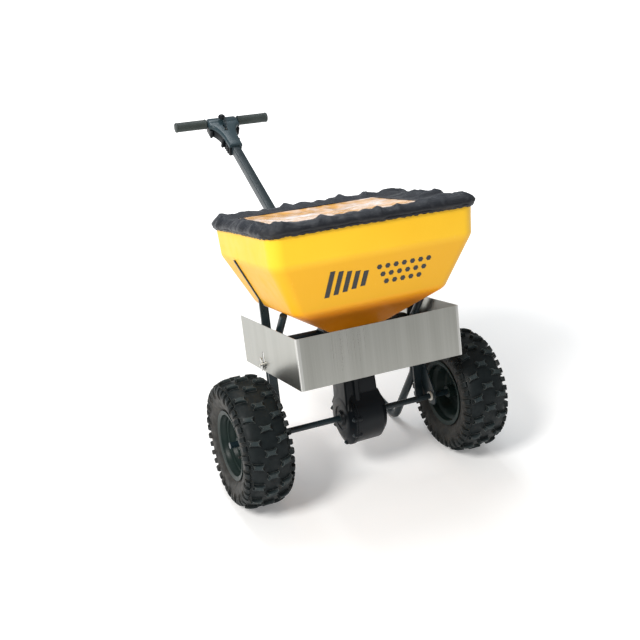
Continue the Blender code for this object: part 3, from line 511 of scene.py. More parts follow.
def linked(name, data):
    """An object in the scene."""
    made = bpy.data.objects.new(name, data)
    bpy.context.scene.collection.objects.link(made)
    return made


def solid(name, shape, matrix):
    """An object from (vertices, faces), with its faces turned outwards."""
    data = bpy.data.meshes.new(name)
    data.from_pydata([tuple(v) for v in shape[0]], [], shape[1])
    mesh = bmesh.new()
    mesh.from_mesh(data)
    bmesh.ops.recalc_face_normals(mesh, faces=mesh.faces)
    mesh.to_mesh(data)
    mesh.free()
    made = linked(name, data)
    made.matrix_world = matrix
    return made


def place(name, shape, look, body, matrix=LEVEL, replaces=(), slot=None, angle=40):
    """Make a visible piece that moves with a body."""
    made = solid(name, shape, matrix)
    soften(made.data, angle)
    made.data.materials.append(LOOKS[look])
    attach(made, body)
    if replaces:
        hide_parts(*replaces)
    return made


def cut(target, shape, matrix):
    """Cut a shape out of a piece."""
    cutter = solid("cutter", shape, matrix)
    change = target.modifiers.new("cut", "BOOLEAN")
    change.object = cutter
    bpy.context.view_layer.update()
    evaluated = target.evaluated_get(bpy.context.evaluated_depsgraph_get())
    done = bpy.data.meshes.new_from_object(evaluated)
    target.modifiers.clear()
    target.data = done
    bpy.data.objects.remove(cutter, do_unlink=True)
    soften(done)


# ---- stage ----
def make_camera():
    """Camera in front of the machine, to its left and above it."""
    data = bpy.data.cameras.new("camera")
    data.lens = 55.07
    data.sensor_width = 36.0
    camera = linked("camera", data)
    camera.location = (-0.99273, -2.3594, 1.53615)
    camera.rotation_euler = (math.radians(90 - 26.86), 0, math.radians(-24.59))
    bpy.context.scene.camera = camera


def make_floor():
    """Plain pale floor that glows a little more away from the machine, into the surround."""
    data = bpy.data.meshes.new("floor")
    half = 30.0
    corners = [(-half, -half, 0), (half, -half, 0), (half, half, 0), (-half, half, 0)]
    data.from_pydata(corners, [], [(0, 1, 2, 3)])
    floor = linked("floor", data)
    look = Look("floor_paper", (0.9, 0.9, 0.9), 0.9, Specular_IOR_Level=0.0, Emission_Strength=1.0)
    look.to("Base Color", look.mix(look.noise(3.0, 2.0), (0.90, 0.90, 0.90), (0.92, 0.92, 0.92)))
    glow = look.span(look.length(look.part("X"), look.part("Y")), 0.7, 2.2, 0.17, 0.80)
    look.to("Emission Color", look.mix(glow, (0.0, 0.0, 0.0), (1.0, 1.0, 1.0)))
    data.materials.append(look.material)


def make_lights():
    """A soft key from the left front, a weaker light from above and behind, and a pale surround."""
    world = bpy.data.worlds.new("studio")
    world.use_nodes = True
    background = world.node_tree.nodes["Background"].inputs
    background["Color"].default_value = (1.0, 1.0, 1.0, 1)
    background["Strength"].default_value = 0.35
    bpy.context.scene.world = world
    for name, location, size, power, colour in (
            ("key_light", (-2.7, -1.7, 3.0), 1.3, 136.0, (1.0, 0.98, 0.95)),
            ("top_light", (-0.2, 1.3, 3.6), 2.0, 70.0, (0.93, 0.97, 1.0))):
        data = bpy.data.lights.new(name, "AREA")
        data.shape = "DISK"
        data.size = size
        data.energy = power
        data.color = colour
        light = linked(name, data)
        light.location = location
        aim = Vector((0, -0.1, 0.4)) - Vector(location)
        light.rotation_euler = aim.to_track_quat("-Z", "Y").to_euler()
    bpy.context.scene.view_settings.view_transform = "Standard"


# ---- CAD nodes that stay ----
def dress_cad_nodes():
    """Give every CAD node its slot's material and soft shading, and ease the edges of some."""
    slots = {part["node"]: part["material_slot"] for part in frame["record"]["subparts"]}
    eased = {"lever_knob": 0.0008, "gearbox_crossbar": 0.0008, "agitator": 0.0008, "axle": 0.0010,
             "leg_left": 0.0010, "leg_right": 0.0010, "axle_bracket_left": 0.0006,
             "axle_bracket_right": 0.0006, "impeller": 0.0006, "control_lever": 0.0005,
             "handle_gusset_left": 0.0005, "handle_gusset_right": 0.0005,
             "hopper_base_plate": 0.0005, "deflector": 0.0003}
    for name, node in frame["nodes"].items():
        node.data.materials.clear()
        node.data.materials.append(LOOKS[slots[name]])
        soften(node.data, 35)
        if name in eased:
            bevel = node.modifiers.new("eased", "BEVEL")
            bevel.width = eased[name]
            bevel.segments = 2
            bevel.limit_method = "ANGLE"
            bevel.angle_limit = math.radians(35)


# ---- wheels ----
TREAD_TOP = 0.1650
LUG_HEIGHT = 0.0095
PITCHES = 17
SHOULDER_BLOCKS = 40
TREAD_CURVE = [(0.0000, 0.1555), (0.0200, 0.1552), (0.0380, 0.1525), (0.0490, 0.1472),
               (0.0555, 0.1395), (0.0592, 0.1300), (0.0590, 0.1180), (0.0560, 0.1040),
               (0.0505, 0.0930), (0.0455, 0.0860), (0.0440, 0.0802)]


def smooth_curve(points, steps):
    """A Catmull-Rom curve through the points."""
    ends = [2 * Vector(points[0]) - Vector(points[1])] + [Vector(p) for p in points]
    ends.append(2 * ends[-1] - ends[-2])
    curve = []
    for a, b, c, d in zip(ends, ends[1:], ends[2:], ends[3:]):
        for i in range(steps):
            t = i / steps
            curve.append(0.5 * (2 * b + (c - a) * t + (2 * a - 5 * b + 4 * c - d) * t * t
                                + (3 * b - a - 3 * c + d) * t * t * t))
    curve.append(Vector(points[-1]))
    return curve


class Carcass:
    """The tyre's outer surface, by distance round its section and angle about the axle."""

    def __init__(self):
        half = smooth_curve(TREAD_CURVE, 6)
        self.half = np.array([tuple(p) for p in half])
        steps = np.linalg.norm(np.diff(self.half, axis=0), axis=1)
        self.length = np.concatenate([[0.0], np.cumsum(steps)])

    def on_curve(self, reach):
        """Distance across and radius at a distance round the section from the crown."""
        return [np.interp(reach, self.length, self.half[:, k]) for k in (0, 1)]

    def point(self, across, angle, height=0.0):
        """Across is measured from the crown, and is negative on the left."""
        sign = -1.0 if across < 0 else 1.0
        reach = min(abs(across), self.length[-1])
        x, r = self.on_curve(reach)
        ahead_x, ahead_r = self.on_curve(min(reach + 0.002, self.length[-1]))
        behind_x, behind_r = self.on_curve(max(reach - 0.002, 0.0))
        dx, dr = ahead_x - behind_x, ahead_r - behind_r
        size = math.hypot(dx, dr)
        x += -dr / size * height
        r += dx / size * height
        return (sign * x, r * math.cos(angle), r * math.sin(angle))


CARCASS = Carcass()


def lug(outline_rows, height):
    """A tread block from rows of (across, around, height share) points, walls sloping to its foot."""
    rows, columns = len(outline_rows), len(outline_rows[0])
    middle_a, middle_s = (sum(p[k] for row in outline_rows for p in row) / (rows * columns)
                          for k in (0, 1))

    def put(a, s, h):
        return CARCASS.point(a, s / TREAD_TOP, h)

    vertices, faces = skin([[put(a, s, height * k) for a, s, k in row] for row in outline_rows])
    around = ([(0, j) for j in range(columns)] + [(i, columns - 1) for i in range(1, rows)]
              + [(rows - 1, j) for j in range(columns - 2, -1, -1)]
              + [(i, 0) for i in range(rows - 2, 0, -1)])
    border = [outline_rows[i][j] for i, j in around]
    previous = [i * columns + j for i, j in around]
    for grow, drop in ((0.0007, 0.0005), (0.0010, 0.0013), (0.0026, None)):
        start = len(vertices)
        for a, s, k in border:
            out = Vector((a - middle_a, s - middle_s)).normalized() * grow
            foot = -0.0015 if drop is None else height * k - drop
            vertices.append(put(a + out.x, s + out.y, foot))
        current = list(range(start, start + len(border)))
        for i in range(len(border)):
            j = (i + 1) % len(border)
            faces.append((previous[i], previous[j], current[j], current[i]))
        previous = current
    faces.append(tuple(previous))
    return vertices, faces


def bow_tie(centre_a, centre_s, half_a=0.0132, skew=0.0, shy=0.0):
    """Tread block wide at both ends and narrow in its middle, with notched ends."""
    half_s, waist = 0.0078, 0.0044
    rows = []
    for v in (-1.0, -0.5, 0.0, 0.5, 1.0):
        row = []
        for i in range(9):
            u = -1 + 2 * i / 8
            half = waist + (half_s - waist) * abs(u) ** 2.5
            notch = 0.0058 * (1 - abs(v)) * abs(u) ** 6
            a = centre_a + u * (half_a - notch)
            row.append((a, centre_s + v * half + skew * u, 1.0 - shy * abs(u)))
        rows.append(row)
    return rows


def shoulder_block(sign, centre_s, long_one):
    """Block over the tyre's shoulder that runs out as a rib down the sidewall."""
    start, end = 0.0545, (0.0800 if long_one else 0.0725)
    rows = []
    for v in (-1.0, 0.0, 1.0):
        row = []
        for i in range(7):
            u = i / 6
            half = 0.0066 - 0.0016 * u
            height = 1.0 - 0.80 * max(0.0, u - 0.35) / 0.65
            row.append((sign * (start + (end - start) * u), centre_s + v * half, height))
        rows.append(row)
    return rows


def tyre_shape():
    """Carcass, tread and shoulder blocks of one tyre, about the origin."""
    across = [u * CARCASS.length[-1] for u in np.linspace(-1, 1, 61)]
    outer = [CARCASS.point(a, 0.0) for a in across]
    profile = [(x, r) for x, r, _ in outer]
    profile += [(0.0340, 0.0802), (0.0440, 0.1000), (0.0520, 0.1250), (0.0440, 0.1450), (0.0, 0.1500),
                (-0.0440, 0.1450), (-0.0520, 0.1250), (-0.0440, 0.1000), (-0.0340, 0.0802)]
    shapes = [lathe(profile, 104)]
    pitch = 2 * math.pi * TREAD_TOP / PITCHES
    for i in range(PITCHES):
        middle = i * pitch
        shapes.append(lug(bow_tie(0.0, middle), LUG_HEIGHT))
        for sign in (-1, 1):
            side = bow_tie(sign * 0.0345, middle + pitch / 2, 0.0124, sign * 0.0030, 0.06)
            shapes.append(lug(side, LUG_HEIGHT))
    spacing = 2 * math.pi * TREAD_TOP / SHOULDER_BLOCKS
    for i in range(SHOULDER_BLOCKS):
        for sign in (-1, 1):
            at = spacing * (i + 0.2 * sign)
            shapes.append(lug(shoulder_block(sign, at, i % 2 == 0), LUG_HEIGHT * 0.88))
    for sign in (-1, 1):
        for along, height in ((0.1250, 0.0007), (0.1180, 0.0009)):
            x, r, _ = CARCASS.point(sign * along, 0.0)
            rib = [CARCASS.point(sign * (along + aside), 0.0, rise)[:2]
                   for aside, rise in ((0.0012, 0.0), (0.0, height), (-0.0012, 0.0))]
            shapes.append(lathe(rib + [(x - sign * 0.001, r)], 104))
    return joined(*shapes)


RIM_PROFILE = [
    (0.0525, 0.0885), (0.0505, 0.0888), (0.0492, 0.0870), (0.0480, 0.0815), (0.0465, 0.0797),
    (0.0340, 0.0780), (0.0300, 0.0720), (0.0240, 0.0705), (0.0180, 0.0670), (-0.0300, 0.0660),
    (-0.0330, 0.0700), (-0.0360, 0.0780), (-0.0465, 0.0797), (-0.0480, 0.0815), (-0.0492, 0.0870),
    (-0.0505, 0.0888),
    (-0.0525, 0.0885), (-0.0520, 0.0850), (-0.0500, 0.0775), (-0.0470, 0.0765), (-0.0362, 0.0752),
    (-0.0330, 0.0670), (-0.0290, 0.0632), (-0.0045, 0.0628), (-0.0010, 0.0590), (0.0020, 0.0540),
    (0.0010, 0.0490), (0.0040, 0.0440), (0.0042, 0.0330), (0.0010, 0.0280), (0.0018, 0.0165),
    (0.0052, 0.0165), (0.0050, 0.0270), (0.0080, 0.0320), (0.0082, 0.0450), (0.0050, 0.0500),
    (0.0062, 0.0545), (0.0036, 0.0590), (0.0030, 0.0605), (0.0110, 0.0615), (0.0130, 0.0645),
    (0.0210, 0.0652), (0.0230, 0.0680), (0.0310, 0.0690), (0.0330, 0.0725), (0.0400, 0.0735),
    (0.0425, 0.0762), (0.0470, 0.0768), (0.0500, 0.0780), (0.0520, 0.0850)]


def make_wheel(side, sign, body):
    """Tyre, stamped rim, welded hub tube and valve of one wheel, dished outwards."""
    turn = Matrix.Identity(4) if sign > 0 else Matrix.Rotation(math.pi, 4, "Z")
    centre = Matrix.Translation(AXLE + ACROSS * sign * WHEEL_X) @ turn
    place("tread_tyre_" + side, tyre_shape(), "tyre_rubber", body, centre, ("tyre_" + side,), angle=38)
    rim = lathe(RIM_PROFILE, 96)
    place("stamped_rim_" + side, rim, "rim_paint", body, centre, ("rim_" + side,), angle=50)
    weld = lathe([(0.0052, 0.0160), (0.0105, 0.0162), (0.0060, 0.0205)], 40)
    tube = lathe([(-0.0360, 0.0082), (-0.0360, 0.0155), (-0.0353, 0.0162), (0.0293, 0.0162),
                  (0.0300, 0.0155), (0.0300, 0.0082)], 48)
    hub = place("hub_" + side, joined(tube, weld), "rim_paint", body, centre, ("wheel_hub_" + side,))
    if sign < 0:
        cut(hub, cylinder((0.022, 0, -0.03), (0.022, 0, 0.03), 0.0033, 20), centre)
    stem = [(0.0290, 0.0030), (0.0330, 0.0030), (0.0345, 0.0042), (0.0400, 0.0036), (0.0520, 0.0028),
            (0.0525, 0.0022), (0.0525, 0.0001), (0.0290, 0.0001)]
    tilt = Matrix.Translation((0.004, 0.066, 0)) @ Matrix.Rotation(math.radians(-12), 4, "Z")
    place("valve_" + side, moved(lathe([(a - 0.005, r) for a, r in stem], 20), tilt), "tyre_rubber",
          body, centre)


# ---- hopper ----
HOPPER_Y = -0.0222
FLOOR = (0.400, 0.0637, -0.0490, 0.0400)
CREASE = (0.487, 0.2043, HOPPER_Y - 0.1442, HOPPER_Y + 0.1442)
SHOULDER = (0.615, 0.2652, HOPPER_Y - 0.1961, HOPPER_Y + 0.1961)
RIM = (0.681, 0.2682, HOPPER_Y - 0.2010, HOPPER_Y + 0.2010)
RIM_CORNER = 0.036
LIP_Z = 0.702
LIP_PROUD = 0.003


def hopper_levels():
    """Levels of the hopper's outside as (z, half width, front, back, corner radius), creases eased."""
    keys = [(*FLOOR, 0.014), (*CREASE, 0.026), (*SHOULDER, 0.034), (*RIM, RIM_CORNER)]
    levels = [keys[0]]
    for i, ease, spread in ((1, 0.06, 0.9), (2, 0.055, 1.4)):
        before, here, after = (np.array(keys[k]) for k in (i - 1, i, i + 1))
        start = here + (before - here) * ease
        end = here + (after - here) * ease * spread
        for k in range(7):
            t = k / 6
            levels.append(tuple((1 - t) ** 2 * start + 2 * t * (1 - t) * here + t * t * end))
    levels.append(keys[3])
    return levels


def make_hopper():
    """Moulded tub with soft creases, a rolled lip, and ports and a shaft hole in its floor."""
    wall = 0.0040
    outside = [[(x, y, z) for x, y in rounded_rectangle(half, front, back, radius, 12)]
               for z, half, front, back, radius in hopper_levels()]

    lip = []
    for extra, z in ((0.0004, RIM[0] + 0.0095), (LIP_PROUD * 0.6, RIM[0] + 0.0115),
                     (LIP_PROUD, RIM[0] + 0.0135), (LIP_PROUD, LIP_Z - 0.0015),
                     (LIP_PROUD - 0.0010, LIP_Z), (-0.0010, LIP_Z), (-0.0018, LIP_Z - 0.0012),
                     (-wall, RIM[0] + 0.006)):
        outline = rounded_rectangle(RIM[1] + extra, RIM[2] - extra, RIM[3] + extra, RIM_CORNER + extra,
                                    12)
        lip.append([(x, y, z) for x, y in outline])
    inside = []
    for z, half, front, back, radius in reversed(hopper_levels()):
        rise = wall if z == FLOOR[0] else 0.0012
        outline = rounded_rectangle(half - wall, front + wall, back - wall,
                                    max(radius - wall, 0.006), 12)
        inside.append([(x, y, z + rise) for x, y in outline])
    tub = place("moulded_hopper", capped(outside + lip + inside), "yellow_poly", "frame", LEVEL,
                ("hopper",), angle=60)
    for sign in (-1, 1):
        left, right = sorted((sign * 0.012, sign * 0.042))
        cut(tub, box_shape((left, -0.038, 0.39), (right, -0.012, 0.42)), LEVEL)
    cut(tub, cylinder((0, 0, 0.39), (0, 0, 0.42), 0.0075), LEVEL)
    soften(tub.data, 60)


def wall_point(x, share):
    """A point on the hopper's sloping front, by X and share of the way up from crease to shoulder."""
    low, high = Vector((x, CREASE[2], CREASE[0])), Vector((x, SHOULDER[2], SHOULDER[0]))
    return low + (high - low) * share


def make_decal():
    """Plain mark in place of the maker's: slanted bars and three rows of hexagonal grains."""
    ink, bar_pitch, bar_width, grain_pitch, grain_r = 0.0003, 0.023, 0.0125, 0.022, 0.0072
    ahead = (wall_point(0, 1) - wall_point(0, 0)).normalized()
    out = Vector((0, -1, 0))
    out = (out - ahead * out.dot(ahead)).normalized()
    origin = wall_point(0.010, 0.52) + out * 0.0002
    face = LEVEL @ axes(origin, ACROSS, ahead)
    shapes = []
    for k in range(5):
        x = -0.144 + k * bar_pitch
        height = 0.034 - k * 0.0035
        slant = height * 0.35
        bar = [(x, -height), (x + bar_width, -height), (x + bar_width + slant, height),
               (x + slant, height)]
        shapes.append(prism(bar, 0, ink))
    for k in range(3):
        for i in range(7 - k):
            x = -0.005 + i * grain_pitch + k * grain_pitch / 2
            y = 0.023 - k * 0.021
            shapes.append(prism([(x + dx, y + dy) for dx, dy in ring(grain_r, 6)], 0, ink))
    place("hopper_decal", joined(*shapes), "decal_ink", "frame", face, slot="black_plastic")


# ---- frame tubes ----
TUBE_R = 0.011
STAND_Y = 0.0603
CROSS_Z = 0.3827
LEG_X = 0.2055
KNEE_Z = 0.2255
FOOT_FRONT, FOOT_BACK = 0.164, 0.300


def from_ground(along, height):
    """Level-drawing Y and Z of a point given along and above the real ground."""
    rise = height - WHEEL_R
    return (along * math.cos(LEAN) - rise * math.sin(LEAN),
            WHEEL_R + along * math.sin(LEAN) + rise * math.cos(LEAN))


def make_frame_tubes():
    """Bent stand tubes, the tube between them with its weld beads, and the round braces."""
    front_foot, back_foot = from_ground(FOOT_FRONT, TUBE_R), from_ground(FOOT_BACK, TUBE_R)
    for side, sign in (("left", -1), ("right", 1)):
        x = sign * LEG_X
        elbow = rounded_path([(sign * 0.170, STAND_Y, CROSS_Z), (x, STAND_Y, CROSS_Z),
                              (x, STAND_Y, KNEE_Z + 0.06)], 0.026)
        knee = rounded_path([(x, STAND_Y, KNEE_Z + 0.06), (x, STAND_Y, KNEE_Z), (x, *front_foot),
                             (x, *back_foot)], 0.034, 10)
        tube = sweep(elbow[:-1] + knee[1:], ring(TUBE_R))
        place("stand_" + side, moved(tube, LEVEL), "black_steel", "frame", Matrix.Identity(4),
              ("stand_tube_" + side,))
        x = sign * 0.196
        brace = cylinder((x, 0.033, 0.3700), (x, -0.0640, 0.4754), 0.0095, 24, 0.0008)
        place("round_brace_" + side, brace, "black_steel", "frame", LEVEL, ("brace_" + side,))
        weld = [(0.0, 0.0098), (0.0030, 0.0125), (0.0060, 0.0120), (0.0075, 0.0098)]
        bead = moved(lathe(weld, 28), Matrix.Translation((sign * 0.170 - 0.004, STAND_Y, CROSS_Z)))
        place("tube_weld_" + side, bead, "black_steel", "frame", LEVEL)
    half = 0.1697
    cross = cylinder((-half, STAND_Y, CROSS_Z), (half, STAND_Y, CROSS_Z), TUBE_R, 28, 0.0004)
    place("round_cross_tube", cross, "black_steel", "frame", LEVEL, ("cross_tube",))


# ---- gearbox ----
CASE_LEFT, CASE_SPLIT, CASE_RIGHT = -0.055, -0.036, 0.068
CASE_R = 0.072
TOWER_TOP = 0.306


def tower_shape(split, end):
    """Half of an upright box: flat at the split, round at the two outer corners."""
    radius, steps = 0.009, 6
    foot, half_y = WHEEL_R + 0.034, 0.0440
    sign = 1 if end > split else -1
    rings = []
    for share, ease in ((0.0, 0.0), (0.5, 0.0), (0.92, 0.0004), (0.97, 0.0016), (1.0, 0.0046)):
        inset = 0.0030 * share + ease
        z = foot + (TOWER_TOP - foot) * share
        x, y = end - sign * inset, half_y - inset
        outline = [(split, -y, z)]
        for centre_y, start in ((-y + radius, -90), (y - radius, 0)):
            for i in range(steps + 1):
                angle = math.radians(start + 90 * i / steps)
                outline.append((x - sign * radius + sign * radius * math.cos(angle),
                                centre_y + radius * math.sin(angle), z))
        rings.append(outline + [(split, y, z)])
    return capped(rings)


def screw(start, ahead, radius):
    """Round screw head on a washer face."""
    start, ahead = Vector(start), Vector(ahead)
    head = sweep([start, start + ahead * 0.0026, start + ahead * 0.0032],
                 lambda share: ring(radius if share < 0.9 else radius - 0.0006, 20))
    washer = sweep([start - ahead * 0.0006, start + ahead * 0.0004], ring(radius + 0.0014, 20))
    return joined(head, washer)


def gearbox_drums(cap_face):
    """Turned drum and its cap about the X axis, meeting at the split."""
    bore = 0.0087
    drum = lathe([(CASE_SPLIT, CASE_R - 0.0010), (CASE_SPLIT + 0.0008, CASE_R),
                  (CASE_SPLIT + 0.0055, CASE_R), (CASE_SPLIT + 0.0070, CASE_R - 0.0018),
                  (0.0380, CASE_R - 0.0030),
                  (0.0410, CASE_R - 0.0040), (0.0560, 0.0540), (0.0580, 0.0500), (0.0580, 0.0280),
                  (0.0610, 0.0250), (0.0650, 0.0200), (CASE_RIGHT, 0.0175), (CASE_RIGHT, bore),
                  (0.0520, bore), (0.0520, 0.0450), (0.0360, 0.0640), (CASE_SPLIT, 0.0660)], 72)
    cap = lathe([(cap_face, CASE_R - 0.0010), (CASE_SPLIT - 0.0011, CASE_R),
                 (CASE_SPLIT - 0.0040, CASE_R), (CASE_SPLIT - 0.0060, CASE_R - 0.0035),
                 (-0.0490, 0.0530), (-0.0505, 0.0500), (-0.0505, 0.0330), (-0.0485, 0.0310),
                 (-0.0485, 0.0215), (-0.0520, 0.0190), (CASE_LEFT, 0.0180), (CASE_LEFT, bore),
                 (-0.0460, bore), (-0.0460, 0.0480), (cap_face, 0.0660)], 72)
    return drum, cap


def make_gearbox():
    """Two moulded halves on the axle: drum, flange with screw bosses, and a tower up to the frame."""
    to_axle = Matrix.Translation((0, 0, WHEEL_R))
    cap_face = CASE_SPLIT - 0.0003
    drum, cap = gearbox_drums(cap_face)
    body_parts = [moved(drum, to_axle), tower_shape(CASE_SPLIT, 0.0440)]
    cap_parts = [moved(cap, to_axle), tower_shape(cap_face, -0.0490)]
    fillet = [[(x, y, WHEEL_R + z) for x, y in rounded_rectangle(half, -deep, deep, 0.010, 5)]
              for z, half, deep in ((0.030, 0.052, 0.062), (0.045, 0.049, 0.055),
                                    (0.056, 0.0455, 0.0485), (0.068, 0.0425, 0.0440))]
    body_parts.append(moved(capped(fillet), Matrix.Translation((0.0035, 0, 0))))
    screws = []
    for degrees in (-150, -90, -30, 8, 172):
        angle = math.radians(degrees)
        y, z = math.cos(angle) * (CASE_R - 0.0045), WHEEL_R + math.sin(angle) * (CASE_R - 0.0045)
        head = (CASE_SPLIT - 0.0085, y, z)
        for parts, start, end in ((body_parts, (CASE_SPLIT, y, z), (CASE_SPLIT + 0.0140, y, z)),
                                  (cap_parts, head, (cap_face, y, z))):
            parts.append(cylinder(start, end, 0.0068, 24, 0.0014))
        screws.append(screw(head, (-1, 0, 0), 0.0034))
    for y in (-0.0430, 0.0430):
        low, high = (-0.0180, y, WHEEL_R + 0.050), (-0.0180, y * 0.99, TOWER_TOP - 0.0030)
        body_parts.append(cylinder(low, high, 0.0080, 28, 0.0012))
    for degrees in range(0, 360, 45):
        shape = box_shape((-0.0012, 0.027, 0.0560), (0.0012, 0.049, 0.0600))
        turn = Matrix.Rotation(math.radians(degrees), 4, "X") @ Matrix.Rotation(math.pi / 2, 4, "Y")
        body_parts.append(moved(shape, to_axle @ turn))
    place("gearbox_drum_half", joined(*body_parts), "black_plastic", "frame", LEVEL, ("gearbox_body",))
    place("gearbox_cap_half", joined(*cap_parts), "black_plastic", "frame", LEVEL, ("gearbox_cap",))
    place("gearbox_screws", joined(*screws), "black_steel", "frame", LEVEL)
    seals = []
    for end, out in ((CASE_RIGHT, 1), (CASE_LEFT, -1)):
        seals.append(lathe([(end - out * 0.0008, 0.0083), (end - out * 0.0008, 0.0130),
                            (end + out * 0.0004, 0.0122), (end + out * 0.0006, 0.0090)], 32))
    place("axle_seals", moved(joined(*seals), to_axle), "tyre_rubber", "frame", LEVEL)


# ---- handle ----
HANDLE_HALF = 0.0127
HANDLE_WALL = 0.0016
BAR_U, BAR_N = 1.0135, 0.008
BAR_HALF = 0.1510
HUB_HALF = 0.050


def hub_outline(inset, rear, low):
    """Round the hub from above: a narrow socket that flares out to the handlebar."""
    right = [(0.0215 - inset, low), (0.0218 - inset, 0.900)]
    for i in range(11):
        angle = math.pi / 2 * i / 10
        right.append((0.0225 + (HUB_HALF - 0.0225) * (1 - math.cos(angle)) - inset,
                      0.912 + 0.072 * math.sin(angle) + inset * (i / 10)))
    right += [(HUB_HALF - inset, rear - 0.010), (HUB_HALF - 0.0020 - inset, rear - 0.0045),
              (HUB_HALF - 0.0060 - inset, rear - inset)]
    return right + [(-x, u) for x, u in reversed(right)]


def hub_shell(levels):
    """Shell of the hub from (height, inset, rear edge, socket end) levels."""
    return capped([[(x, u, n) for x, u in hub_outline(inset, rear, low)]
                   for n, inset, rear, low in levels])


def make_hub():
    """Two moulded shells clamped round the bar and shaft, with screw ears and a ridge over the bar."""
    seam = BAR_N
    top_n = box_in(HANDLE, "handle_hub_top")[1].z
    top = hub_shell([(seam + 0.0004, 0.0, 1.0295, 0.8785), (top_n - 0.0095, 0.0002, 1.0292, 0.8785),
                     (top_n - 0.0060, 0.0012, 1.0280, 0.8790), (top_n - 0.0036, 0.0032, 1.0250, 0.8800),
                     (top_n - 0.0026, 0.0060, 1.0210, 0.8815)])
    crest = sweep([(-0.0440, 1.0090, top_n - 0.0052), (-0.0380, 1.0090, top_n - 0.0034),
                   (0.0380, 1.0090, top_n - 0.0034), (0.0440, 1.0090, top_n - 0.0052)],
                  [(0.0110, -0.0020), (0.0100, 0.0010), (0.0065, 0.0030), (-0.0065, 0.0030),
                   (-0.0100, 0.0010), (-0.0110, -0.0020)])
    bottom = hub_shell([(-0.0214, 0.0042, 1.0200, 0.8785), (-0.0196, 0.0022, 1.0225, 0.8785),
                        (-0.0150, 0.0018, 1.0235, 0.8785), (seam - 0.0012, 0.0014, 1.0240, 0.8785),
                        (seam, 0.0022, 1.0235, 0.8785)])
    upper = place("hub_shell_top", top, "hub_plastic", "frame", HANDLE, ("handle_hub_top",),
                  slot="black_plastic")
    lower = place("hub_shell_bottom", bottom, "black_plastic", "frame", HANDLE, ("handle_hub_bottom",))
    channel = box_shape((-0.0131, 0.86, -0.0131), (0.0131, 0.9310, 0.0131))
    pocket = box_shape((-0.0095, 0.941, -0.03), (0.0095, 0.995, top_n - 0.0056))
    slot = box_shape((-0.0095, 0.9525, 0.0), (0.0005, 0.9835, 0.06))
    bar = cylinder((-0.08, BAR_U, BAR_N), (0.08, BAR_U, BAR_N), 0.0114, 32)
    for shell in (upper, lower):
        for shape in (channel, pocket, bar):
            cut(shell, shape, HANDLE)
    cut(upper, slot, HANDLE)
    place("hub_ridge", crest, "hub_plastic", "frame", HANDLE, slot="black_plastic")
    ears, screws = [], []
    for x, u in ((0.0255, 0.9250), (-0.0255, 0.9250), (0.0440, 0.9800), (-0.0440, 0.9800)):
        ears.append(cylinder((x, u, -0.0180), (x, u, 0.0060), 0.0052, 20, 0.0010))
        screws.append(screw((x, u, -0.0186), (0, 0, -1), 0.0030))
    for i in range(5):
        u = 0.889 + i * 0.011
        for sign in (-1, 1):
            left, right = sorted((sign * 0.0190, sign * 0.0222))
            ears.append(box_shape((left, u, -0.0200), (right, u + 0.0022, 0.0040)))
    place("hub_ears", joined(*ears), "black_plastic", "frame", HANDLE)
    place("hub_screws", joined(*screws), "black_steel", "frame", HANDLE)


def make_handle():
    """Square tube with rolled corners, and two moulded grips with ribbed ends."""
    low, high = box_in(HANDLE, "handle_tube")
    outer = rounded_rectangle(HANDLE_HALF, -HANDLE_HALF, HANDLE_HALF, 0.0024, 4)
    inner_half = HANDLE_HALF - HANDLE_WALL
    inner = rounded_rectangle(inner_half, -inner_half, inner_half, 0.0010, 4)
    start = [[(x, low.y, z) for x, z in outline] for outline in (outer, inner)]
    end = [[(x, high.y, z) for x, z in outline] for outline in (outer, inner)]
    tube = skin([start[0], end[0], end[1], start[1]], True, True)
    place("square_shaft", tube, "black_steel", "frame", HANDLE, ("handle_tube",))
    for side, sign in (("left", -1), ("right", 1)):
        inner_end, outer_end = HUB_HALF + 0.0030, BAR_HALF + 0.0031
        profile = [(inner_end, 0.0114), (inner_end, 0.0150), (inner_end + 0.0010, 0.0158),
                   (inner_end + 0.0035, 0.0158), (inner_end + 0.0048, 0.0149)]
        ribs = 26
        for k in range(ribs):
            at = inner_end + 0.006 + (outer_end - inner_end - 0.016) * k / ribs
            profile += [(at, 0.01462), (at + 0.0009, 0.01488), (at + 0.0018, 0.01462)]
        profile += [(outer_end - 0.0075, 0.0148), (outer_end - 0.0060, 0.0154),
                    (outer_end - 0.0030, 0.0153), (outer_end - 0.0008, 0.0140), (outer_end, 0.0110),
                    (outer_end, 0.0005),
                    (BAR_HALF + 0.0003, 0.0005), (BAR_HALF + 0.0003, 0.0114)]
        shape = lathe([(sign * a, r) for a, r in profile], 40)
        grip = moved(shape, Matrix.Translation((0, BAR_U, BAR_N)))
        place("moulded_grip_" + side, grip, "grip_rubber", "frame", HANDLE, ("grip_" + side,), angle=50)


# ---- cover ----
CLOTH_GAP = 0.0022
WINDOW_X = (-0.226, 0.168)
WINDOW_Y = (-0.160, 0.120)
WINDOW_MIDDLE = ((WINDOW_X[0] + WINDOW_X[1]) / 2, (WINDOW_Y[0] + WINDOW_Y[1]) / 2)
WINDOW_HALF = ((WINDOW_X[1] - WINDOW_X[0]) / 2, (WINDOW_Y[1] - WINDOW_Y[0]) / 2)
ACROSS_CELLS, ALONG_CELLS = 96, 70
# The cover laid flat, and the share of that rectangle left when its corners are rounded.
COVER_HALF_X, COVER_HALF_Y, COVER_CORNER = 0.2755, 0.2085, 0.050
# Length round the skirt, which spaces the gathers; most that folds and settling may move the cloth.
BORDER_LENGTH = 1.83
FOLD_LIMIT = 0.0105
SETTLE_LIMIT = 0.0110
SKIRT_DROPS = (0.003, 0.007, 0.011, 0.015, 0.019, 0.023, 0.027, 0.030, 0.032)


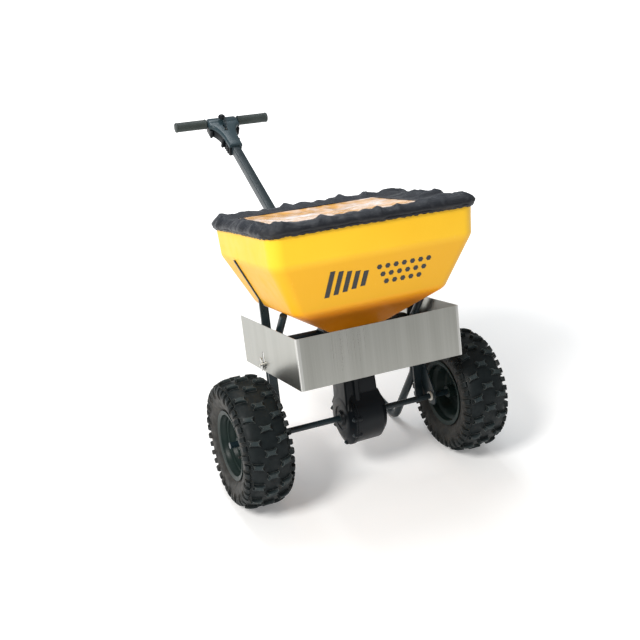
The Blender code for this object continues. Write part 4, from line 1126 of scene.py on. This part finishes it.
def square_to_round(x, y, half_x, half_y, radius):
    """Move a point of a rectangle so that its corners become round."""
    dx, dy = abs(x) - (half_x - radius), abs(y) - (half_y - radius)
    if dx <= 0 or dy <= 0:
        return x, y
    scale = max(dx, dy) / math.hypot(dx, dy)
    return (math.copysign(half_x - radius + dx * scale, x),
            math.copysign(half_y - radius + dy * scale, y))


def window_place(u, v, half, middle):
    """X and Y of a place on the window, from shares between -1 and 1 of its two sides."""
    x, y = square_to_round(u * half[0], v * half[1], *half, 0.012)
    return x + middle[0], y + middle[1]


def cover_border():
    """Grid places round the window's edge, as (share across, share along) in turn."""
    nx, ny = ACROSS_CELLS, ALONG_CELLS
    border = [(i, 0) for i in range(nx)] + [(nx, j) for j in range(ny)]
    border += [(nx - i, ny) for i in range(nx)] + [(0, ny - j) for j in range(ny)]
    return border


def loose_folds():
    """Folds of the loose cloth, as lines from the window out to the rim with a height and a width."""
    rng = random.Random(11)
    folds = []
    for side, inner, outer in ((-1, WINDOW_Y[0] + 0.006, HOPPER_Y - 0.214),
                               (1, WINDOW_Y[1] - 0.004, HOPPER_Y + 0.214)):
        x = -0.250
        while x < 0.250:
            slant = rng.uniform(-0.045, 0.045)
            height = rng.uniform(0.0020, 0.0062) * (1 if side < 0 else 1.3)
            height *= rng.choice((1, 1, 1, -0.7))
            folds.append(((x, inner), (x + slant, outer), height, rng.uniform(0.0055, 0.0120)))
            x += rng.uniform(0.016, 0.036)
    for side, inner, outer in ((-1, WINDOW_X[0] + 0.004, -0.278), (1, WINDOW_X[1] - 0.002, 0.278)):
        y = -0.215
        while y < 0.175:
            slant = rng.uniform(-0.050, 0.030)
            height = rng.uniform(0.0025, 0.0065) * rng.choice((1, 1, -0.8))
            folds.append(((inner, y), (outer, y + slant), height, rng.uniform(0.0065, 0.0130)))
            y += rng.uniform(0.020, 0.040)
    folds.append(((-0.284, -0.196), (-0.232, -0.222), 0.0095, 0.0070))
    folds.append(((-0.276, -0.182), (-0.230, -0.206), -0.0100, 0.0075))
    folds.append(((0.168, -0.160), (0.272, -0.226), 0.0085, 0.0100))
    folds.append(((0.175, 0.020), (0.272, -0.060), 0.0080, 0.0110))
    return folds


FOLDS = loose_folds()


def fold_height(x, y):
    """Height of the folds over a place on the cover."""
    total = 0.0
    for (ax, ay), (bx, by), height, width in FOLDS:
        dx, dy = bx - ax, by - ay
        share = max(0.0, min(1.0, ((x - ax) * dx + (y - ay) * dy) / (dx * dx + dy * dy)))
        off = math.hypot(x - ax - share * dx, y - ay - share * dy) / width
        if off < 3.0:
            total += height * math.exp(-off * off)
    return max(-FOLD_LIMIT, min(FOLD_LIMIT, total))


def cover_rings():
    """Rings of (place, way out, share of the top, drop) from the window's edge down to the hem."""
    half, middle = Vector(WINDOW_HALF), Vector(WINDOW_MIDDLE)
    top = [(k / 12, 0.0) for k in range(13)]
    lines = []
    for share, drop in top + [(1.0, drop) for drop in SKIRT_DROPS]:
        line = []
        for i, j in cover_border():
            u, v = -1 + 2 * i / ACROSS_CELLS, -1 + 2 * j / ALONG_CELLS
            wx, wy = window_place(u, v, half, middle)
            ox, oy = square_to_round(u * COVER_HALF_X, v * COVER_HALF_Y, COVER_HALF_X, COVER_HALF_Y,
                                     COVER_CORNER)
            oy += HOPPER_Y
            if not drop:
                x, y = wx + (ox - wx) * share, wy + (oy - wy) * share
                z = FLAT_Z + 0.007 * share ** 1.5 - 0.007 * max(0.0, share - 0.86) / 0.14
                line.append((Vector((x, y, z)), Vector((0, 0, 1)), share, drop))
            else:
                out = Vector((u ** 7 * (1 if abs(u) >= abs(v) else 0.9), v ** 7, 0))
                out = out.normalized() if out.length > 0 else Vector((1, 0, 0))
                bulge = (0.0092 * math.sin(math.pi * min(1.0, drop / 0.029))
                         - 0.0055 * max(0.0, drop - 0.022) / 0.010)
                line.append((Vector((ox, oy, FLAT_Z - drop * 0.84)) + out * bulge, out, share, drop))
        lines.append(line)
    return lines


def clear_of_lip(point, on_top):
    """Keep a point of the cloth outside the hopper's lip: above it on top, outside it on the skirt."""
    half_x, half_y = RIM[1] + LIP_PROUD, (RIM[3] - RIM[2]) / 2 + LIP_PROUD
    radius = RIM_CORNER + LIP_PROUD
    dx, dy = abs(point.x) - half_x + radius, abs(point.y - HOPPER_Y) - half_y + radius
    beyond = math.hypot(max(dx, 0.0), max(dy, 0.0)) + min(max(dx, dy), 0.0) - radius
    lowest = LIP_Z + CLOTH_GAP
    if beyond > CLOTH_GAP or beyond < -0.020 or point.z > lowest:
        return point
    if on_top:
        return Vector((point.x, point.y, lowest))
    if dx > 0 and dy > 0:
        out = Vector((dx, dy, 0)).normalized()
    else:
        out = Vector((1, 0, 0)) if dx > dy else Vector((0, 1, 0))
    out = Vector((math.copysign(out.x, point.x), math.copysign(out.y, point.y - HOPPER_Y), 0))
    return point + out * (CLOTH_GAP - beyond)


def wrinkle(point, scale, seed):
    """Soft unevenness of the cloth, between -1 and 1."""
    return noise.noise(Vector((point.x * scale + seed, point.y * scale, point.z * scale)))


def ridge(point, scale, seed):
    """Sharp-crested folds: near 1 along the creases."""
    return 1.0 - 2.0 * abs(wrinkle(point, scale, seed))


def loose_point(p, out, share, drop, along):
    """A place on a ring of the cover, with wrinkles and folds on top and gathers on the skirt."""
    folded = fold_height(p.x, p.y)
    if not drop:
        swell = math.sin(math.pi * min(1.0, share * 1.08))
        fold = ridge(Vector((p.x, p.y, 0)), 17.0, 3.0) * 0.5 + wrinkle(p, 38.0, 9.0) * 0.5
        height = 0.0035 * swell * (0.6 + fold) + 0.0030 * wrinkle(p, 11.0, 5.0) * share
        return p + Vector((0, 0, height + folded * min(1.0, share * 2.5)))
    phase = along * 2 * math.pi / 0.0185 + 2.6 * wrinkle(Vector((along * 9, 0, 0)), 1.0, 21.0)
    gather = math.sin(phase) * (0.6 + 0.5 * wrinkle(Vector((along * 14, 3, 0)), 1.0, 2.0))
    puff = 0.0036 * wrinkle(Vector((p.x, p.y, drop)), 22.0, 31.0) + 0.55 * folded
    swell = 0.0010 * gather * min(1.0, drop / 0.020) + puff * math.sin(math.pi * min(1.0, drop / 0.030))
    return p + out * swell + Vector((0, 0, folded * max(0.0, 1 - drop / 0.016)))


def shaped_cover():
    """Cover grid as points: window grid first, then the rings beyond its border."""
    nx, ny = ACROSS_CELLS, ALONG_CELLS
    points = []
    for j in range(ny + 1):
        for i in range(nx + 1):
            u, v = -1 + 2 * i / nx, -1 + 2 * j / ny
            sag = 0.010 * (1 - u ** 4) * (1 - v ** 4)
            points.append(Vector((*window_place(u, v, WINDOW_HALF, WINDOW_MIDDLE), FLAT_Z - sag)))
    count = (nx + 1) * (ny + 1)
    index = {(i, j): j * (nx + 1) + i for j in range(ny + 1) for i in range(nx + 1)}
    faces = [(index[i, j], index[i + 1, j], index[i + 1, j + 1], index[i, j + 1])
             for j in range(ny) for i in range(nx)]
    window_faces = len(faces)
    border = [index[b] for b in cover_border()]
    previous = border
    around = len(border)
    for row, line in enumerate(cover_rings()[1:]):
        start = count + row * around
        for k, (p, out, share, drop) in enumerate(line):
            points.append(loose_point(p, out, share, drop, k * (BORDER_LENGTH / around)))
        current = list(range(start, start + around))
        for k in range(around):
            m = (k + 1) % around
            faces.append((previous[k], previous[m], current[m], current[k]))
        previous = current
    return points, faces, window_faces, border, previous


def drape(points, faces, hem):
    """Let the loose cloth settle: it is a little too big for the rim, so it wrinkles and puffs."""
    data = bpy.data.meshes.new("cloth")
    data.from_pydata([tuple(p) for p in points], [], faces)
    cloth = linked("cloth", data)
    held = cloth.vertex_groups.new(name="held")
    held.add(hem, 1.0, "REPLACE")
    modifier = cloth.modifiers.new("cloth", "CLOTH")
    settings = modifier.settings
    for name, value in (("quality", 6), ("mass", 0.18), ("tension_stiffness", 18),
                        ("compression_stiffness", 18), ("shear_stiffness", 6),
                        ("bending_stiffness", 0.35), ("shrink_min", -0.045), ("shrink_max", -0.045),
                        ("vertex_group_mass", "held"), ("use_pressure", True),
                        ("uniform_pressure_force", 1.1)):
        setattr(settings, name, value)
    settings.effector_weights.gravity = 0.6
    modifier.collision_settings.use_collision = False
    modifier.collision_settings.use_self_collision = False
    modifier.point_cache.frame_start = 1
    modifier.point_cache.frame_end = 30
    scene = bpy.context.scene
    for step in range(1, 26):
        scene.frame_set(step)
    evaluated = cloth.evaluated_get(bpy.context.evaluated_depsgraph_get())
    settled = [v.co.copy() for v in evaluated.data.vertices]
    scene.frame_set(1)
    bpy.data.objects.remove(cloth, do_unlink=True)
    result = []
    for before, after in zip(points, settled):
        shift = after - before
        if shift.length > SETTLE_LIMIT:
            shift = shift.normalized() * SETTLE_LIMIT
        result.append(before + shift)
    return result


def window_calm(p):
    """0 at the window's seam, 1 well inside it."""
    edge = min(p.x - WINDOW_X[0], WINDOW_X[1] - p.x, p.y - WINDOW_Y[0], WINDOW_Y[1] - p.y)
    return max(0.0, min(1.0, edge / 0.015))


def make_trim(border, hem):
    """Tape round the window, the elastic in the hem, and the tape's stitches."""
    outline = [p + Vector((0, 0, 0.0002)) for p in border]
    tape = [(-0.0055, -0.0003), (-0.0050, 0.0010), (0.0, 0.0014), (0.0050, 0.0010), (0.0055, -0.0003),
            (0.0, -0.0008)]
    binding = place("window_binding", sweep(outline, tape, True), "cover_fabric", "cover", angle=50)
    elastic = sweep(hem, ring(0.0032, 10), True)
    band = place("elastic_hem", elastic, "cover_fabric", "cover", angle=180)
    stitches = []
    lift = Vector((0, 0, 0.0013))
    for a, b in zip(outline[::2], outline[1::2]):
        stitches.append(cylinder(a + (b - a) * 0.1 + lift, a + (b - a) * 0.9 + lift, 0.00045, 6))
    place("window_stitches", joined(*stitches), "thread", "cover", slot="cover_fabric")
    return band, binding


def make_cover():
    """Elastic-hemmed fabric cover with a sewn-in clear window."""
    points, faces, window_faces, border, hem = shaped_cover()
    points = drape(points, faces, hem)
    last_on_top = len(points) - len(border) * len(SKIRT_DROPS)
    points = [clear_of_lip(p, i < last_on_top) for i, p in enumerate(points)]
    used = sorted({i for face in faces[window_faces:] for i in face})
    renumber = {old: new for new, old in enumerate(used)}
    fabric = ([points[i] for i in used],
              [tuple(renumber[i] for i in face) for face in faces[window_faces:]])
    cover = place("fabric_cover", fabric, "cover_fabric", "cover", LEVEL, ("cover",), angle=180)
    thick = cover.modifiers.new("thickness", "SOLIDIFY")
    thick.thickness = 0.0010
    thick.offset = -1
    pane_points = (ACROSS_CELLS + 1) * (ALONG_CELLS + 1)
    pane_shape = ([p + Vector((0, 0, 0.0030 * ridge(p, 22.0, 50.0) * window_calm(p)))
                   for p in points[:pane_points]], faces[:window_faces])
    pane = place("window_pane", pane_shape, "clear_vinyl", "cover", LEVEL, ("cover_window",), angle=180)
    band, binding = make_trim([points[i] for i in border], [points[i] for i in hem])


make_camera()
make_floor()
make_lights()
dress_cad_nodes()
make_wheel("left", -1, "drive_axle")
make_wheel("right", 1, "free_wheel")
make_hopper()
make_decal()
make_frame_tubes()
make_gearbox()
make_handle()
make_hub()
make_cover()
